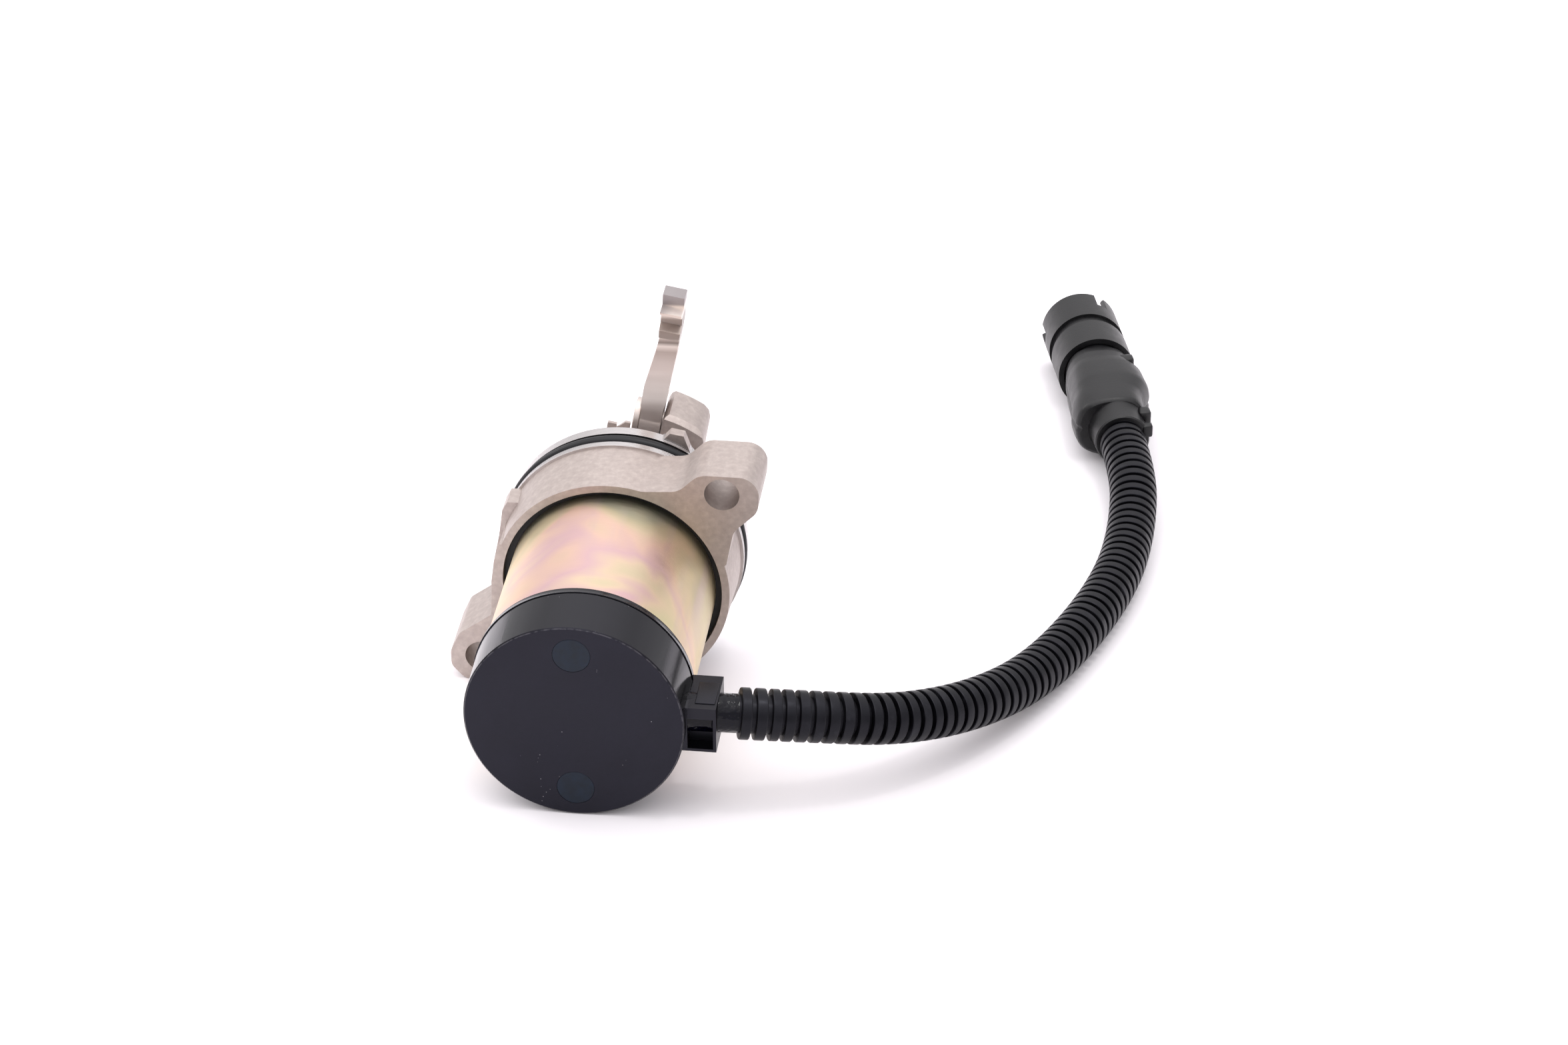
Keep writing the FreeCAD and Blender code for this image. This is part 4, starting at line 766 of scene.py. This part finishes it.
class SOLENOID_OT_stage(bpy.types.Operator):
    """Set the floor, the soft lights and the camera"""
    bl_idname = "solenoid.stage"
    bl_label = "Studio"

    def execute(self, context):
        scene = context.scene
        scene.view_settings.view_transform = "Standard"
        self.floor(scene)
        self.lights(scene)
        self.surroundings(scene)
        camera = bpy.data.objects.new("camera", bpy.data.cameras.new("camera"))
        scene.collection.objects.link(camera)
        camera.data.lens = CAMERA_LENS
        camera.data.sensor_width = SENSOR_WIDTH
        camera.data.clip_start = 0.05
        camera.data.clip_end = 20
        up = CAMERA_BACK.cross(CAMERA_RIGHT)
        turn = Matrix((CAMERA_RIGHT, up, CAMERA_BACK)).transposed().to_4x4()
        camera.matrix_world = Matrix.Translation(CAMERA_PLACE) @ turn
        scene.camera = camera
        return {"FINISHED"}

    @staticmethod
    def floor(scene):
        """A wide sheet at the height that the object lies on."""
        bm = bmesh.new()
        bmesh.ops.create_grid(bm, x_segments=1, y_segments=1, size=4.0)
        mesh = bpy.data.meshes.new("floor")
        bm.to_mesh(mesh)
        bm.free()
        floor = bpy.data.objects.new("floor", mesh)
        scene.collection.objects.link(floor)
        # Matt white paper: a pale ground that shows only the soft shadows
        material, tree = blank_material("matt_white_paper")
        paper = add(tree, "BsdfDiffuse", {"Color": linear("#EFECEF")})
        add(tree, "OutputMaterial", {"Surface": paper})
        mesh.materials.append(material)

    @staticmethod
    def lights(scene):
        """A broad key overhead, a side light and a small one for the sleeve's glint."""
        for name, place, size, power in LAMPS:
            lamp = bpy.data.lights.new(name, "AREA")
            lamp.shape = "DISK"
            lamp.size = size
            lamp.energy = power
            lamp.color = (1.0, 0.99, 0.975)
            obj = bpy.data.objects.new(name, lamp)
            obj.location = place
            aim = LAMPS_LOOK_AT - Vector(place)
            obj.rotation_euler = aim.to_track_quat("-Z", "Y").to_euler()
            scene.collection.objects.link(obj)

    @staticmethod
    def surroundings(scene):
        """A white room that is brightest overhead."""
        world = bpy.data.worlds.new("studio")
        world.use_nodes = True
        tree = world.node_tree
        tree.nodes.clear()
        way = add(tree, "TexCoord").outputs["Generated"]
        split = add(tree, "SeparateXYZ", {"Vector": way})
        level = add(tree, "MapRange", {"Value": split.outputs["Z"], "From Min": 0.45,
                                       "From Max": 0.95, "To Min": 0.95, "To Max": 2.2})
        light = add(tree, "Background", {"Color": linear("#FEFCFE"), "Strength": level})
        add(tree, "OutputWorld", {"Surface": light})
        scene.world = world


class SOLENOID_PT_panel(bpy.types.Panel):
    """The solenoid's settings and its operators"""
    bl_idname = "SOLENOID_PT_panel"
    bl_label = "Solenoid"
    bl_space_type = "VIEW_3D"
    bl_region_type = "UI"
    bl_category = "Solenoid"

    def draw(self, context):
        layout = self.layout
        settings = context.scene.solenoid_settings
        for name in SolenoidSettings.__annotations__:
            layout.prop(settings, name)
        for operator in OPERATORS:
            layout.operator(operator.bl_idname)


OPERATORS = (SOLENOID_OT_nodes, SOLENOID_OT_cap, SOLENOID_OT_housing, SOLENOID_OT_lever,
             SOLENOID_OT_plug, SOLENOID_OT_loom, SOLENOID_OT_stage)
CLASSES = (SolenoidSettings, *OPERATORS, SOLENOID_PT_panel)


def register():
    for cls in CLASSES:
        bpy.utils.register_class(cls)
    bpy.types.Scene.solenoid_settings = PointerProperty(type=SolenoidSettings)


def unregister():
    del bpy.types.Scene.solenoid_settings
    for cls in reversed(CLASSES):
        bpy.utils.unregister_class(cls)


def main():
    register()
    bpy.ops.solenoid.nodes()
    bpy.ops.solenoid.cap()
    bpy.ops.solenoid.housing()
    bpy.ops.solenoid.lever()
    bpy.ops.solenoid.plug()
    bpy.ops.solenoid.loom()
    bpy.ops.solenoid.stage()


if __name__ == "__main__":
    main()
